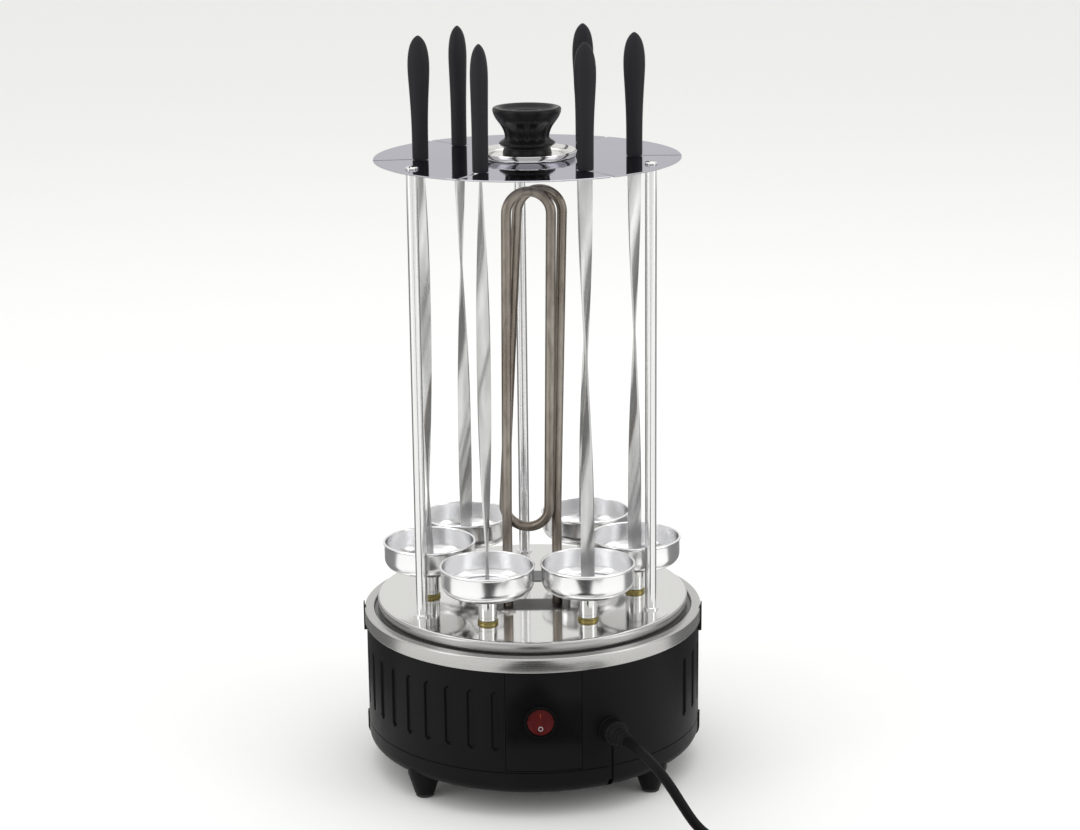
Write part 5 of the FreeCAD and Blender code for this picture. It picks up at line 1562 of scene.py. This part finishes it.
# ---------------------------------------------------------------- skewers
@dataclass
class SkewerSet:
    """Six flat twisted blades with black handles.

    Attributes:
        tip: length of the narrowing point.
        tang: length inside the handle.
        neck: half width and half thickness of a handle at its foot.
        swell: the same where it is thickest.
        tip_width: width of the point.
        play: gap below the point.
        steps: how many steps the twist has.
        form: share of the length, share of the swell and taper along a handle.
    """

    width: float = 9.4
    thick: float = 1.5
    tip: float = 12.0
    tang: float = 26.0
    handle_length: float = 84.1
    neck: tuple[float, float] = (5.55, 5.4)
    swell: tuple[float, float] = (7.5, 6.0)
    tip_width: float = 2.0
    play: float = 0.3
    steps: int = 72
    form: tuple[tuple[float, float, float], ...] = (
        (0.0, 0.0, 0.98), (0.008, 0.0, 1.0), (0.2, 0.0, 1.0), (0.34, 0.1, 1.0),
        (0.47, 0.34, 1.0), (0.6, 0.68, 1.0), (0.7, 0.95, 1.0), (0.78, 1.0, 1.0),
        (0.845, 1.0, 0.94), (0.895, 1.0, 0.84), (0.94, 1.0, 0.68), (0.972, 1.0, 0.45),
        (0.992, 1.0, 0.22), (1.0, 1.0, 0.05))

    def make_blades(self) -> None:
        """Make the blades: point, one slow twist and the tang."""
        low = SOCKET_FLOOR + self.play
        bpy.ops.object.select_all(action="DESELECT")
        bpy.ops.mesh.primitive_plane_add(size=1.0, location=(0, 0, low * MM))
        bpy.context.object.scale = (self.tip_width * MM, self.thick * MM, 1.0)
        pattern = Bench.named("blade")
        Bench.edit()
        shoulder = low + self.tip
        twist_foot = POST_END + 4
        self.raise_to(low, shoulder)
        bpy.ops.transform.resize(value=(self.width / self.tip_width, 1, 1),
                                 center_override=(0, 0, shoulder * MM))
        self.raise_to(shoulder, twist_foot)
        rise = (HANDLE_FOOT - twist_foot) / self.steps
        turn = math.radians(TWIST / self.steps)
        height = twist_foot
        for _ in range(self.steps):
            self.raise_to(height, height + rise)
            height += rise
            bpy.ops.transform.rotate(value=turn, orient_axis="Z",
                                     center_override=(0, 0, height * MM))
        self.raise_to(height, height + self.tang)
        Bench.face_outwards()
        Bench.soften(pattern, 0.22, 2, 50.0)
        for index, (cup, skewer) in enumerate(zip(CUP_TURNS, SKEWER_TURNS), start=1):
            blade = Bench.copy(pattern, f"blade_{index}",
                               round_place(SPINDLE_CIRCLE, cup, skewer + TWIST))
            fit(blade, f"skewer_{index}", Finishes.BLADE, f"skewer_blade_{index}",
                angle=30.0)
        bpy.data.objects.remove(pattern)

    @staticmethod
    def raise_to(low: float, high: float) -> None:
        """Extrude the selected end straight up between two heights."""
        bpy.ops.mesh.extrude_region_move(
            TRANSFORM_OT_translate={"value": (0, 0, (high - low) * MM)})

    def make_handles(self) -> None:
        """Make the handles: a straight flat grip that swells near a soft point."""
        pattern = Bench.ring("handle", 1.0, HANDLE_FOOT, 40)
        Bench.edit()
        wide, thin, height = 1.0, 1.0, HANDLE_FOOT
        bpy.ops.mesh.edge_face_add()
        for share, swell, taper in self.form:
            level = HANDLE_FOOT + share * self.handle_length
            next_wide, next_thin = ((neck + (full - neck) * swell) * taper
                                    for neck, full in zip(self.neck, self.swell))
            if share > 0:
                self.raise_to(height, level)
            bpy.ops.transform.resize(value=(next_wide / wide, next_thin / thin, 1),
                                     center_override=(0, 0, level * MM))
            wide, thin, height = next_wide, next_thin, level
        Bench.face_outwards()
        Bench.apply(pattern, "SUBSURF", levels=2, render_levels=2)
        for index, (cup, spin) in enumerate(zip(CUP_TURNS, HANDLE_TURNS), start=1):
            handle = Bench.copy(pattern, f"handle_{index}",
                                round_place(SPINDLE_CIRCLE, cup, spin))
            fit(handle, f"skewer_{index}", Finishes.HANDLE, f"skewer_handle_{index}",
                angle=60.0)
        bpy.data.objects.remove(pattern)

    def make(self) -> None:
        """Make blades and handles."""
        self.make_blades()
        self.make_handles()


# ---------------------------------------------------------------- heater
@dataclass
class Heater:
    """The tube heater, wound once and a half, on its bent strap.

    Attributes:
        radius: the tube's radius.
        pin: radius of the pins at its ends.
        strap_lift: gap below the strap.
        crown_pull: a curve handle's length at a bend's crown, as a share of its width.
        bend_pull: the same at a bend's foot, as a share of its rise.
        leg_pull: a curve handle's length along a leg.
        foot_pull: the same away from the bends.
        top: height of the upper crowns above the deck.
        bend: height of the lower crown above the deck.
        rise: height of a bend.
        below: how far the tube reaches below the deck.
    """

    radius: float = 3.5
    pin: float = 1.4
    nut_radius: float = 6.0
    nut_height: float = 4.0
    strap_rise: float = 10.0
    strap_sheet: float = 1.2
    strap_half: float = 27.0
    strap_side: float = 11.0
    strap_foot: float = 8.0
    strap_lift: float = 0.02
    crown_pull: float = 0.276
    bend_pull: float = 0.552
    leg_pull: float = 20.0
    foot_pull: float = 15.0
    top: float = 288.8
    bend: float = 48.0
    rise: float = 15.5
    below: float = 34.0

    def route(self) -> list[tuple[float, float, float, bool]]:
        """Give the tube's points.

        Returns:
            For each point its x, y and height, and whether a bend's crown is there.
        """
        (left, front), (right, back) = HEATER_LEGS
        high = DECK_TOP + self.top - self.rise
        low = DECK_TOP + self.bend + self.rise
        crown, hollow = DECK_TOP + self.top, DECK_TOP + self.bend
        foot = DECK_TOP - self.below
        return [
            (left, front, foot, False), (left, front, low, False),
            (-15.1, front, high, False), (0.3, front, crown, True),
            (15.7, front, high, False), (12.5, front, low, False),
            (-3.4, 0.0, hollow, True),
            (-19.3, back, low, False), (-7.6, back, high, False),
            (7.9, back, crown, True), (23.4, back, high, False),
            (right, back, low, False), (right, back, foot, False)]

    def make_tube(self) -> None:
        """Bend the tube along its route."""
        points = self.route()
        bpy.ops.object.select_all(action="DESELECT")
        bpy.ops.curve.primitive_bezier_curve_add()
        tube = bpy.context.object
        spline = tube.data.splines[0]
        spline.bezier_points.add(len(points) - 2)
        for index, (x, y, z, _) in enumerate(points):
            knot = spline.bezier_points[index]
            knot.handle_left_type = knot.handle_right_type = "FREE"
            here = Vector((x, y, z))
            way, reach = self.way_at(points, index)
            knot.co = here * MM
            knot.handle_left = (here - way * reach[0]) * MM
            knot.handle_right = (here + way * reach[1]) * MM
        tube.data.dimensions = "3D"
        tube.data.resolution_u = 16
        tube.data.bevel_depth = self.radius * MM
        tube.data.bevel_resolution = 8
        tube.data.use_fill_caps = True
        bpy.ops.object.convert(target="MESH")
        tube = Bench.named("heater_sheath")
        bpy.ops.object.mode_set(mode="EDIT")
        Bench.weld()
        bpy.ops.object.mode_set(mode="OBJECT")
        foot = DECK_TOP - self.below
        pins = [Bench.rod("pin", self.pin, foot - 9, foot + 1, x, y, 16)
                for x, y in HEATER_LEGS]
        whole = Bench.gather("heater_sheath", [tube] + pins)
        fit(whole, "base", Finishes.HEATER, "heater_tube", angle=40.0)

    def way_at(self, points: list[tuple[float, float, float, bool]],
               index: int) -> tuple[Vector, tuple[float, float]]:
        """Give the tube's direction at a point and the reach of its two handles.

        Args:
            points: the whole route.
            index: which point.

        Returns:
            A unit vector, and the reach back and forward.
        """
        here = Vector(points[index][:3])
        before = Vector(points[max(index - 1, 0)][:3])
        after = Vector(points[min(index + 1, len(points) - 1)][:3])
        if points[index][3]:
            pull = abs(after.x - before.x) * self.crown_pull
            return (after - before).normalized(), (pull, pull)
        if index + 1 < len(points) and points[index + 1][3]:
            return (here - before).normalized(), (self.leg_pull, self.rise * self.bend_pull)
        if index > 0 and points[index - 1][3]:
            return (after - here).normalized(), (self.rise * self.bend_pull, self.leg_pull)
        return (after - before).normalized(), (self.foot_pull, self.foot_pull)

    def make_strap(self) -> None:
        """Make the bent strap and the hexagon nuts that hold the tube."""
        top, base = DECK_TOP + self.strap_rise, DECK_TOP + self.strap_lift
        sheet, half, side = self.strap_sheet, self.strap_half, self.strap_side
        pieces = [Bench.block("strap", (-half, -side, top), (half, side, top + sheet))]
        for sign in (-1, 1):
            wall = sorted((sign * (half - sheet), sign * half))
            flat = sorted((sign * (half - sheet), sign * (half + self.strap_foot)))
            pieces.append(Bench.block("wall", (wall[0], -side, base),
                                      (wall[1], side, top + sheet)))
            pieces.append(Bench.block("foot", (flat[0], -side, base),
                                      (flat[1], side, DECK_TOP + sheet)))
        strap = pieces[0]
        for other in pieces[1:]:
            Bench.apply(strap, "BOOLEAN", object=other, operation="UNION", solver="EXACT")
            bpy.data.objects.remove(other)
        Bench.soften(strap, 0.35)
        Bench.carve(strap, [Bench.rod("cut", self.radius + 0.2, top - 2, top + 3, x, y)
                            for x, y in HEATER_LEGS])
        strap.name = "heater_strap"
        fit(strap, "base", Finishes.STRAP, "heater_bridge")
        nuts = []
        for x, y in HEATER_LEGS:
            nut = Bench.rod("nut", self.nut_radius, top + sheet,
                            top + sheet + self.nut_height, x, y, 6)
            Bench.soften(nut, 0.3)
            Bench.carve(nut, [Bench.rod("cut", self.radius + 0.02, top - 2, top + 9, x, y)])
            nuts.append(nut)
        fit(Bench.gather("strap_nuts", nuts), "base", Finishes.SCREW, "heater_nuts")

    def make(self) -> None:
        """Make tube, strap and nuts."""
        self.make_tube()
        self.make_strap()


# ---------------------------------------------------------------- rods, disc and knob
@dataclass
class Canopy:
    """The three rods, the polished disc they carry, its screws, dish and knob.

    Attributes:
        hole: radius of a handle's hole.
        slot: width of a blade's slot.
        knob_bore: radius of the hole in the middle.
        rivet: radius of a rod's end in the disc.
        rod_foot: height of a rod's foot.
        screw_spin: how far the screws' slots are turned.
        flute_levels: the knob's flutes, from and to, above the disc.
        flute_half: half a flute's width, in sides of the knob.
        flute_share: radius in a flute, as a share of the neck's.
    """

    disc_radius: float = 105.25
    hole: float = 6.0
    slot: float = 3.0
    knob_bore: float = 2.6
    rivet: float = 2.1
    rivet_length: float = 13.0
    rod_collar: float = 5.6
    rod_foot: float = 100.0
    screw_head: float = 4.3
    screw_rise: float = 2.2
    screw_spin: float = 35.0
    knob_sides: int = 168
    knob_flutes: int = 14
    flute_levels: tuple[float, float] = (12.9, 23.0)
    flute_half: int = 3
    flute_share: float = 0.935

    def make_rods(self) -> None:
        """Make the rods with a collar on the deck and a riveted foot."""
        rod, collar, foot = ROD_RADIUS, self.rod_collar, self.rod_foot
        bottom = DISC_UNDER - self.rivet_length
        pattern = Bench.turn("rod", [
            (0, foot), (collar - 0.3, foot), (collar, foot + 0.3), (collar, foot + 2),
            (3.0, foot + 2), (3.0, foot + 4), (rod, foot + 4), (rod, DECK_TOP),
            (collar, DECK_TOP), (collar, DECK_TOP + 1.2), (collar - 0.4, DECK_TOP + 1.6),
            (rod, DECK_TOP + 1.6), (rod, DISC_UNDER - 0.3), (rod - 0.3, DISC_UNDER),
            (self.rivet, DISC_UNDER), (self.rivet, bottom), (0, bottom)],
            sides=48, closed=False)
        twins = Bench.deal(pattern, "rod", ROD_CIRCLE, ROD_TURNS)
        fit(Bench.gather("rods", twins), "base", Finishes.ROD, "support_rods", angle=25.0)

    def make_disc(self) -> None:
        """Make the disc with a hole and an open slot for each skewer."""
        edge = self.disc_radius
        disc = Bench.turn("disc", [
            (0, DISC_TOP), (60, DISC_TOP), (edge - 0.25, DISC_TOP), (edge, DISC_TOP - 0.25),
            (edge, DISC_UNDER + 0.25), (edge - 0.25, DISC_UNDER), (60, DISC_UNDER),
            (0, DISC_UNDER)], sides=256, closed=False)
        low, high = DISC_UNDER - 2, DISC_TOP + 2
        cutters = [Bench.rod("cut", self.knob_bore, low, high)]
        half = self.slot / 2
        for turn in CUP_TURNS:
            slot = Bench.block("cut", (-half, -(edge + 3), low),
                               (half, -SPINDLE_CIRCLE, high))
            cutters.append(Bench.move(slot, Matrix.Rotation(math.radians(turn), 4, "Z")))
            x, y = plan_point(SPINDLE_CIRCLE, turn)
            cutters.append(Bench.rod("cut", self.hole, low, high, x, y))
        for turn in ROD_TURNS:
            x, y = plan_point(ROD_CIRCLE, turn)
            cutters.append(Bench.rod("cut", self.rivet, low, high, x, y, 24))
        Bench.carve(disc, cutters)
        disc.name = "mirror_disc"
        fit(disc, "base", Finishes.DISC, "top_disc", angle=28.0)

    def make_screws(self) -> None:
        """Make the domed slotted screws and the knob's own screw below the disc."""
        head, rise = self.screw_head, self.screw_rise
        dome = [(head * math.cos(a), DISC_TOP + 0.6 + (rise - 0.6) * math.sin(a))
                for a in (math.radians(step * 15) for step in range(6))]
        pattern = Bench.turn("screw", [
            (0, DISC_TOP - 12), (1.7, DISC_TOP - 12), (2.0, DISC_TOP - 11.6),
            (2.0, DISC_TOP), (head - 0.1, DISC_TOP), *dome, (0, DISC_TOP + rise)],
            sides=48, closed=False)
        Bench.carve(pattern, [Bench.block("cut", (-0.5, -6, DISC_TOP + 1.1),
                                          (0.5, 6, DISC_TOP + 4))])
        twins = Bench.deal(pattern, "screw", ROD_CIRCLE, ROD_TURNS,
                           lambda turn: turn + self.screw_spin)
        twins.append(Bench.turn("knob_screw", [
            (0, DISC_UNDER - 2.2), (3.4, DISC_UNDER - 2.2), (4.3, DISC_UNDER - 1.2),
            (4.3, DISC_UNDER), (2.5, DISC_UNDER), (2.5, DISC_TOP + 14),
            (0, DISC_TOP + 14)], sides=48, closed=False))
        fit(Bench.gather("screws", twins), "base", Finishes.CHROME, "disc_screws",
            angle=30.0)

    def make_dish(self) -> None:
        """Make the bright dish that the knob stands in."""
        floor, top = DISC_TOP + 0.8, DISC_TOP + 4.4
        dish = Bench.turn("dish", [
            (2.7, DISC_TOP), (31.4, DISC_TOP), (32.5, DISC_TOP + 0.3),
            (33.4, DISC_TOP + 1.4), (33.9, top - 1.0), (34.0, top - 0.4), (33.8, top),
            (33.3, top + 0.1), (32.9, top - 0.6), (32.3, floor + 1.0),
            (31.6, floor + 0.3), (30.6, floor), (2.7, floor)], sides=192)
        fit(dish, "base", Finishes.DISH, "knob_dish", angle=35.0)

    def in_flute(self, point: Vector) -> bool:
        """Tell whether a corner of the knob lies in one of its neck's flutes.

        Args:
            point: the corner's place.

        Returns:
            True inside a flute.
        """
        low, high = self.flute_levels
        if math.hypot(point.x, point.y) <= 12 or not low < point.z - DISC_TOP < high:
            return False
        per_flute = self.knob_sides // self.knob_flutes
        angle = math.degrees(math.atan2(point.y, point.x)) % 360
        step = round(angle / 360 * self.knob_sides) % per_flute
        return min(step, per_flute - step) <= self.flute_half

    def make_knob(self) -> None:
        """Make the dished knob with a fluted neck."""
        foot, crown = DISC_TOP + 0.8, DISC_TOP + 34
        neck = [(15.3, DISC_TOP + 12.4), (15.3, DISC_TOP + 13.4), (15.4, DISC_TOP + 15),
                (16.2, DISC_TOP + 18.2), (17.8, DISC_TOP + 21.4)]
        profile = [
            (2.55, foot), (16.5, foot), (16.9, foot + 0.4), (16.9, DISC_TOP + 3.4),
            (15.9, DISC_TOP + 5.2), (15.9, DISC_TOP + 6.8), (18.8, DISC_TOP + 8.4),
            (19.2, DISC_TOP + 8.9), (19.2, DISC_TOP + 9.7), (18.8, DISC_TOP + 10.2),
            *neck, (20.0, DISC_TOP + 24.2), (22.0, DISC_TOP + 27.0),
            (23.3, DISC_TOP + 30.2), (23.6, DISC_TOP + 32.2), (23.2, crown - 0.7),
            (22.2, crown), (20.4, crown - 0.1), (18.8, crown - 1.2), (17.2, crown - 2.7),
            (15.2, crown - 3.4), (12.2, crown - 3.6), (11.4, crown - 3.2),
            (10.8, crown - 2.8), (9.6, crown - 2.8), (9.0, crown - 3.2),
            (8.2, crown - 3.8), (4.0, crown - 4.1), (0, crown - 4.2)]
        knob = Bench.turn("knob_body", profile, sides=self.knob_sides, closed=False)
        Bench.pick_corners(knob, self.in_flute)
        bpy.ops.transform.resize(value=(self.flute_share, self.flute_share, 1),
                                 center_override=(0, 0, DISC_TOP * MM))
        bpy.ops.object.mode_set(mode="OBJECT")
        Bench.apply(knob, "SUBSURF", levels=1, render_levels=1)
        fit(knob, "base", Finishes.KNOB, "knob", angle=50.0)

    def make(self) -> None:
        """Make every piece above the deck that stands still."""
        self.make_rods()
        self.make_disc()
        self.make_screws()
        self.make_dish()
        self.make_knob()


# ---------------------------------------------------------------- mains lead
@dataclass
class MainsLead:
    """Gland, cord, put-away coil, tie and plug.

    Attributes:
        reach: how far the gland stands out of the case.
        barrel: radius of its barrel.
        rings: rings cut into its nose.
        tongue_half: half the width of the tongue in the slot below it.
        cord: the cord's radius.
        lead_in: how far the cord runs straight on.
        coil_middle: x and y of the coil's middle.
        lanes: radius and height of each turn.
        turns: how many turns there are.
        per_turn: points in a turn.
        change: share of a turn in which the cord changes lanes.
        lane: how far before the coil's middle the plug lies.
        plug_level: height of the plug's axis.
        tie_reach: the tie's sides, from the coil's middle.
        relief_reach: how far beyond the third lane the plug's relief begins.
        draw_in: the cord's length as a share of the line through its points.
        route: points that the loose cord runs by.
    """

    reach: float = 24.0
    barrel: float = 8.9
    rings: int = 3
    tongue_half: float = 1.7
    cord: float = 3.5
    lead_in: float = 10.5
    coil_middle: tuple[float, float] = (118.8, -230.2)
    lanes: tuple[tuple[float, float], ...] = (
        (42.0, 3.5), (35.0, 3.5), (38.5, 9.6), (41.0, 11.2), (41.0, 8.0))
    turns: float = 4.25
    per_turn: int = 16
    change: float = 0.3
    lane: float = 42.0
    plug_level: float = 8.0
    tie_reach: tuple[float, float] = (-46.2, -30.8)
    tie_wall: float = 1.2
    relief_reach: float = 7.3
    ribs: int = 3
    pin_side: float = 9.5
    draw_in: float = 0.997
    route: tuple[tuple[float, float, float], ...] = (
        (71.8, -146.4, 58.2), (77.8, -153.8, 54.6), (84.0, -159.6, 48.8),
        (90.2, -163.8, 41.0), (97.4, -167.2, 29.6), (104.8, -169.4, 18.4),
        (112.6, -170.8, 10.8), (121.8, -172.0, 5.7), (131.7, -173.4, 3.5),
        (141.9, -177.1, 3.5), (150.6, -183.9, 3.5), (156.9, -192.9, 3.5),
        (160.3, -203.4, 3.5), (160.8, -213.4, 3.5))

    def tip(self, extra: float = 0.0) -> tuple[float, float, float]:
        """Give the gland's tip, or a point straight out from it."""
        return (*plan_point(CASE_RADIUS + self.reach + extra, GLAND_TURN), GLAND_HEIGHT)

    def coil(self) -> list[tuple[float, float, float]]:
        """Give the put-away turns, clockwise from the right of the coil.

        Returns:
            Points from the right side to the front, where the plug is.
        """
        points = []
        for step in range(2, int(self.turns * self.per_turn) - 1):
            share = step / self.per_turn
            index = min(int(share), len(self.lanes) - 2)
            blend = max(0.0, (share - index - (1 - self.change)) / self.change)
            radius, z = (here * (1 - blend) + there * blend
                         for here, there in zip(self.lanes[index], self.lanes[index + 1]))
            angle = -2 * math.pi * share
            points.append((self.coil_middle[0] + radius * math.cos(angle),
                           self.coil_middle[1] + radius * math.sin(angle), z))
        return points

    def make_gland(self) -> bpy.types.Object:
        """Make the strain relief: a round barrel and a nose with rings cut into it.

        Returns:
            The gland.
        """
        barrel = self.barrel
        profile = [(0, -4), (6.2, -4), (6.2, 0), (9.5, 0), (9.8, 0.3), (9.8, 1.1),
                   (9.5, 1.4), (barrel, 1.4),
                   *arc_points((barrel - 2.6, 7.4), 2.6, 0, 80, 6)]
        for index in range(self.rings):
            foot = 12.0 + index * 3.8
            wide = 6.05 - index * 0.45
            profile += [(wide, foot), (wide - 0.35, foot + 0.4),
                        (wide - 0.45, foot + 1.0), (wide - 0.1, foot + 1.4)]
        profile += [(4.55, 23.0), (4.3, 23.7), (3.55, self.reach), (0, self.reach)]
        barrel_and_nose = Bench.turn("gland", profile, sides=64, closed=False)
        tongue = Bench.block("tongue", (-self.tongue_half, -36.8, -3.2),
                             (self.tongue_half, -3.1, -1.2))
        gland = Bench.gather("gland", [barrel_and_nose, tongue])
        Bench.move(gland, outward_place(CASE_RADIUS, GLAND_TURN, GLAND_HEIGHT))
        return fit(gland, "base", Finishes.LEAD, "cord_gland", angle=40.0)

    def make_cord(self, others: list[bpy.types.Object]) -> None:
        """Lay the cord and wind its spare length into the coil.

        Args:
            others: the pieces on the cord; not used.
        """
        points = [self.tip(), self.tip(self.lead_in), *self.route, *self.coil(),
                  *self.entry()]
        data = bpy.data.curves.new("lead", "CURVE")
        data.dimensions = "3D"
        spline = data.splines.new("NURBS")
        spline.points.add(len(points) - 1)
        for knot, (x, y, z) in zip(spline.points, points):
            knot.co = (x * MM, y * MM, z * MM, 1.0)
        spline.order_u = 3
        spline.use_endpoint_u = True
        spline.resolution_u = 6
        data.bevel_depth = self.cord * MM
        data.bevel_resolution = 5
        data.use_fill_caps = True
        lead = bpy.data.objects.new("lead", data)
        bpy.context.scene.collection.objects.link(lead)
        Finishes.dress(lead, Finishes.LEAD)
        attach(lead, "base")
        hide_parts("cord", "cord_coil")
        [part * MM for part in self.tip()]

    def length(self, points: list[tuple[float, float, float]]) -> float:
        """Give the cord's length in metres; it runs a little inside its points."""
        return self.draw_in * sum(map(math.dist, points, points[1:])) * MM

    def entry(self) -> list[tuple[float, float, float]]:
        """Give the last points, straight into the plug's strain relief."""
        x, y = self.coil_middle
        return [(x - back, y - self.lane, self.plug_level) for back in (6.0, 20.0)]

    def make_tie(self) -> bpy.types.Object:
        """Make the strap round the coil's left side.

        Returns:
            The tie.
        """
        x, y = self.coil_middle
        low, high = self.tie_reach
        wall, top = self.tie_wall, 15.0
        band = Bench.block("tie", (low, -6, 0), (high, 6, top))
        Bench.soften(band, 2.5, 4, 60.0)
        Bench.carve(band, [Bench.block("cut", (low + wall, -8, wall),
                                       (high - wall, 8, top - wall))])
        Bench.move(band, Matrix.Translation((x * MM, y * MM, 0)))
        return fit(band, "base", Finishes.TIE, "cord_tie")

    def make_plug(self) -> bpy.types.Object:
        """Make the two-pin plug with a ribbed strain relief.

        Returns:
            The plug.
        """
        body = Bench.block("plug", (18, -13, -8), (54, 13, 8))
        Bench.soften(body, 4.5, 5, 60.0)
        relief = [(0, 0), (4.4, 0), (4.5, 0.6)]
        for index in range(self.ribs):
            foot = 2.4 + index * 4.6
            wide = 4.9 + index * 0.5
            relief += [(wide, foot), (wide, foot + 1.6), (wide - 0.8, foot + 2.2),
                       (wide - 0.7, foot + 3.4)]
        relief += [(6.5, 16.6), (6.6, 20), (0, 20)]
        nose = Bench.turn("relief", relief, sides=48, closed=False)
        along = Matrix.Rotation(math.radians(90), 4, "Y")
        Bench.move(nose, along)
        pieces = [body, nose]
        for side in (-self.pin_side, self.pin_side):
            pin = Bench.turn("pin", [(0, 53), (2.4, 53), (2.4, 71),
                                     *arc_points((1.0, 71.6), 1.4, 0, 90, 4), (0, 73)],
                             sides=32, closed=False)
            pieces.append(Bench.move(pin, Matrix.Translation((0, side * MM, 0)) @ along))
        for index, piece in enumerate(pieces):
            Finishes.dress(piece, Finishes.LEAD if index < 2 else Finishes.SCREW)
        whole = Bench.gather("lead_plug", pieces)
        x, y = self.coil_middle
        outer = self.lanes[2][0] + self.relief_reach
        entry = math.sqrt(outer ** 2 - self.lane ** 2) - 1.0
        place = Vector((x - entry, y - self.lane, self.plug_level)) * MM
        Bench.move(whole, Matrix.Translation(place) @ Matrix.Rotation(math.pi, 4, "Z"))
        Bench.smooth(whole, 35.0)
        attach(whole, "base")
        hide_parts("plug")
        return whole

    def make(self) -> None:
        """Make gland, tie, plug and the cord itself."""
        self.make_cord([self.make_gland(), self.make_tie(), self.make_plug()])


# ---------------------------------------------------------------- pieces kept from the frame
@dataclass
class InnerWorks:
    """Nodes whose plain solids are right: gears, motor, plate, clips and screws."""

    finishes: dict[str, object] = field(default_factory=lambda: {
        "case_screws": Finishes.SCREW, "bearing_plate": Finishes.PLATE,
        "gearmotor": Finishes.MOTOR, "motor_pinion": Finishes.BRASS,
        "drive_gear": Finishes.NYLON, "terminal_block": Finishes.CERAMIC,
        "side_clips": Finishes.CLIP,
        **{f"spindle_gear_{index}": Finishes.NYLON for index in range(1, 7)}})

    def make(self) -> None:
        """Dress each node."""
        for name, finish in self.finishes.items():
            Finishes.dress(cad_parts[name], finish)
            LOG.info("%s: dressed", name)


def main() -> None:
    """Build the whole scene in order."""
    logging.basicConfig(level=logging.INFO, format="%(message)s")
    studio = Studio()
    studio.camera()
    MainsLead().make()
    for assembly in (DrumCase(), RockerSwitch(), TopDeck(), SpindleSet(), SkewerSet(),
                     Heater(), Canopy(), InnerWorks()):
        assembly.make()
    studio.floor()
    studio.flags()
    studio.light()


if __name__ == "__main__":
    main()
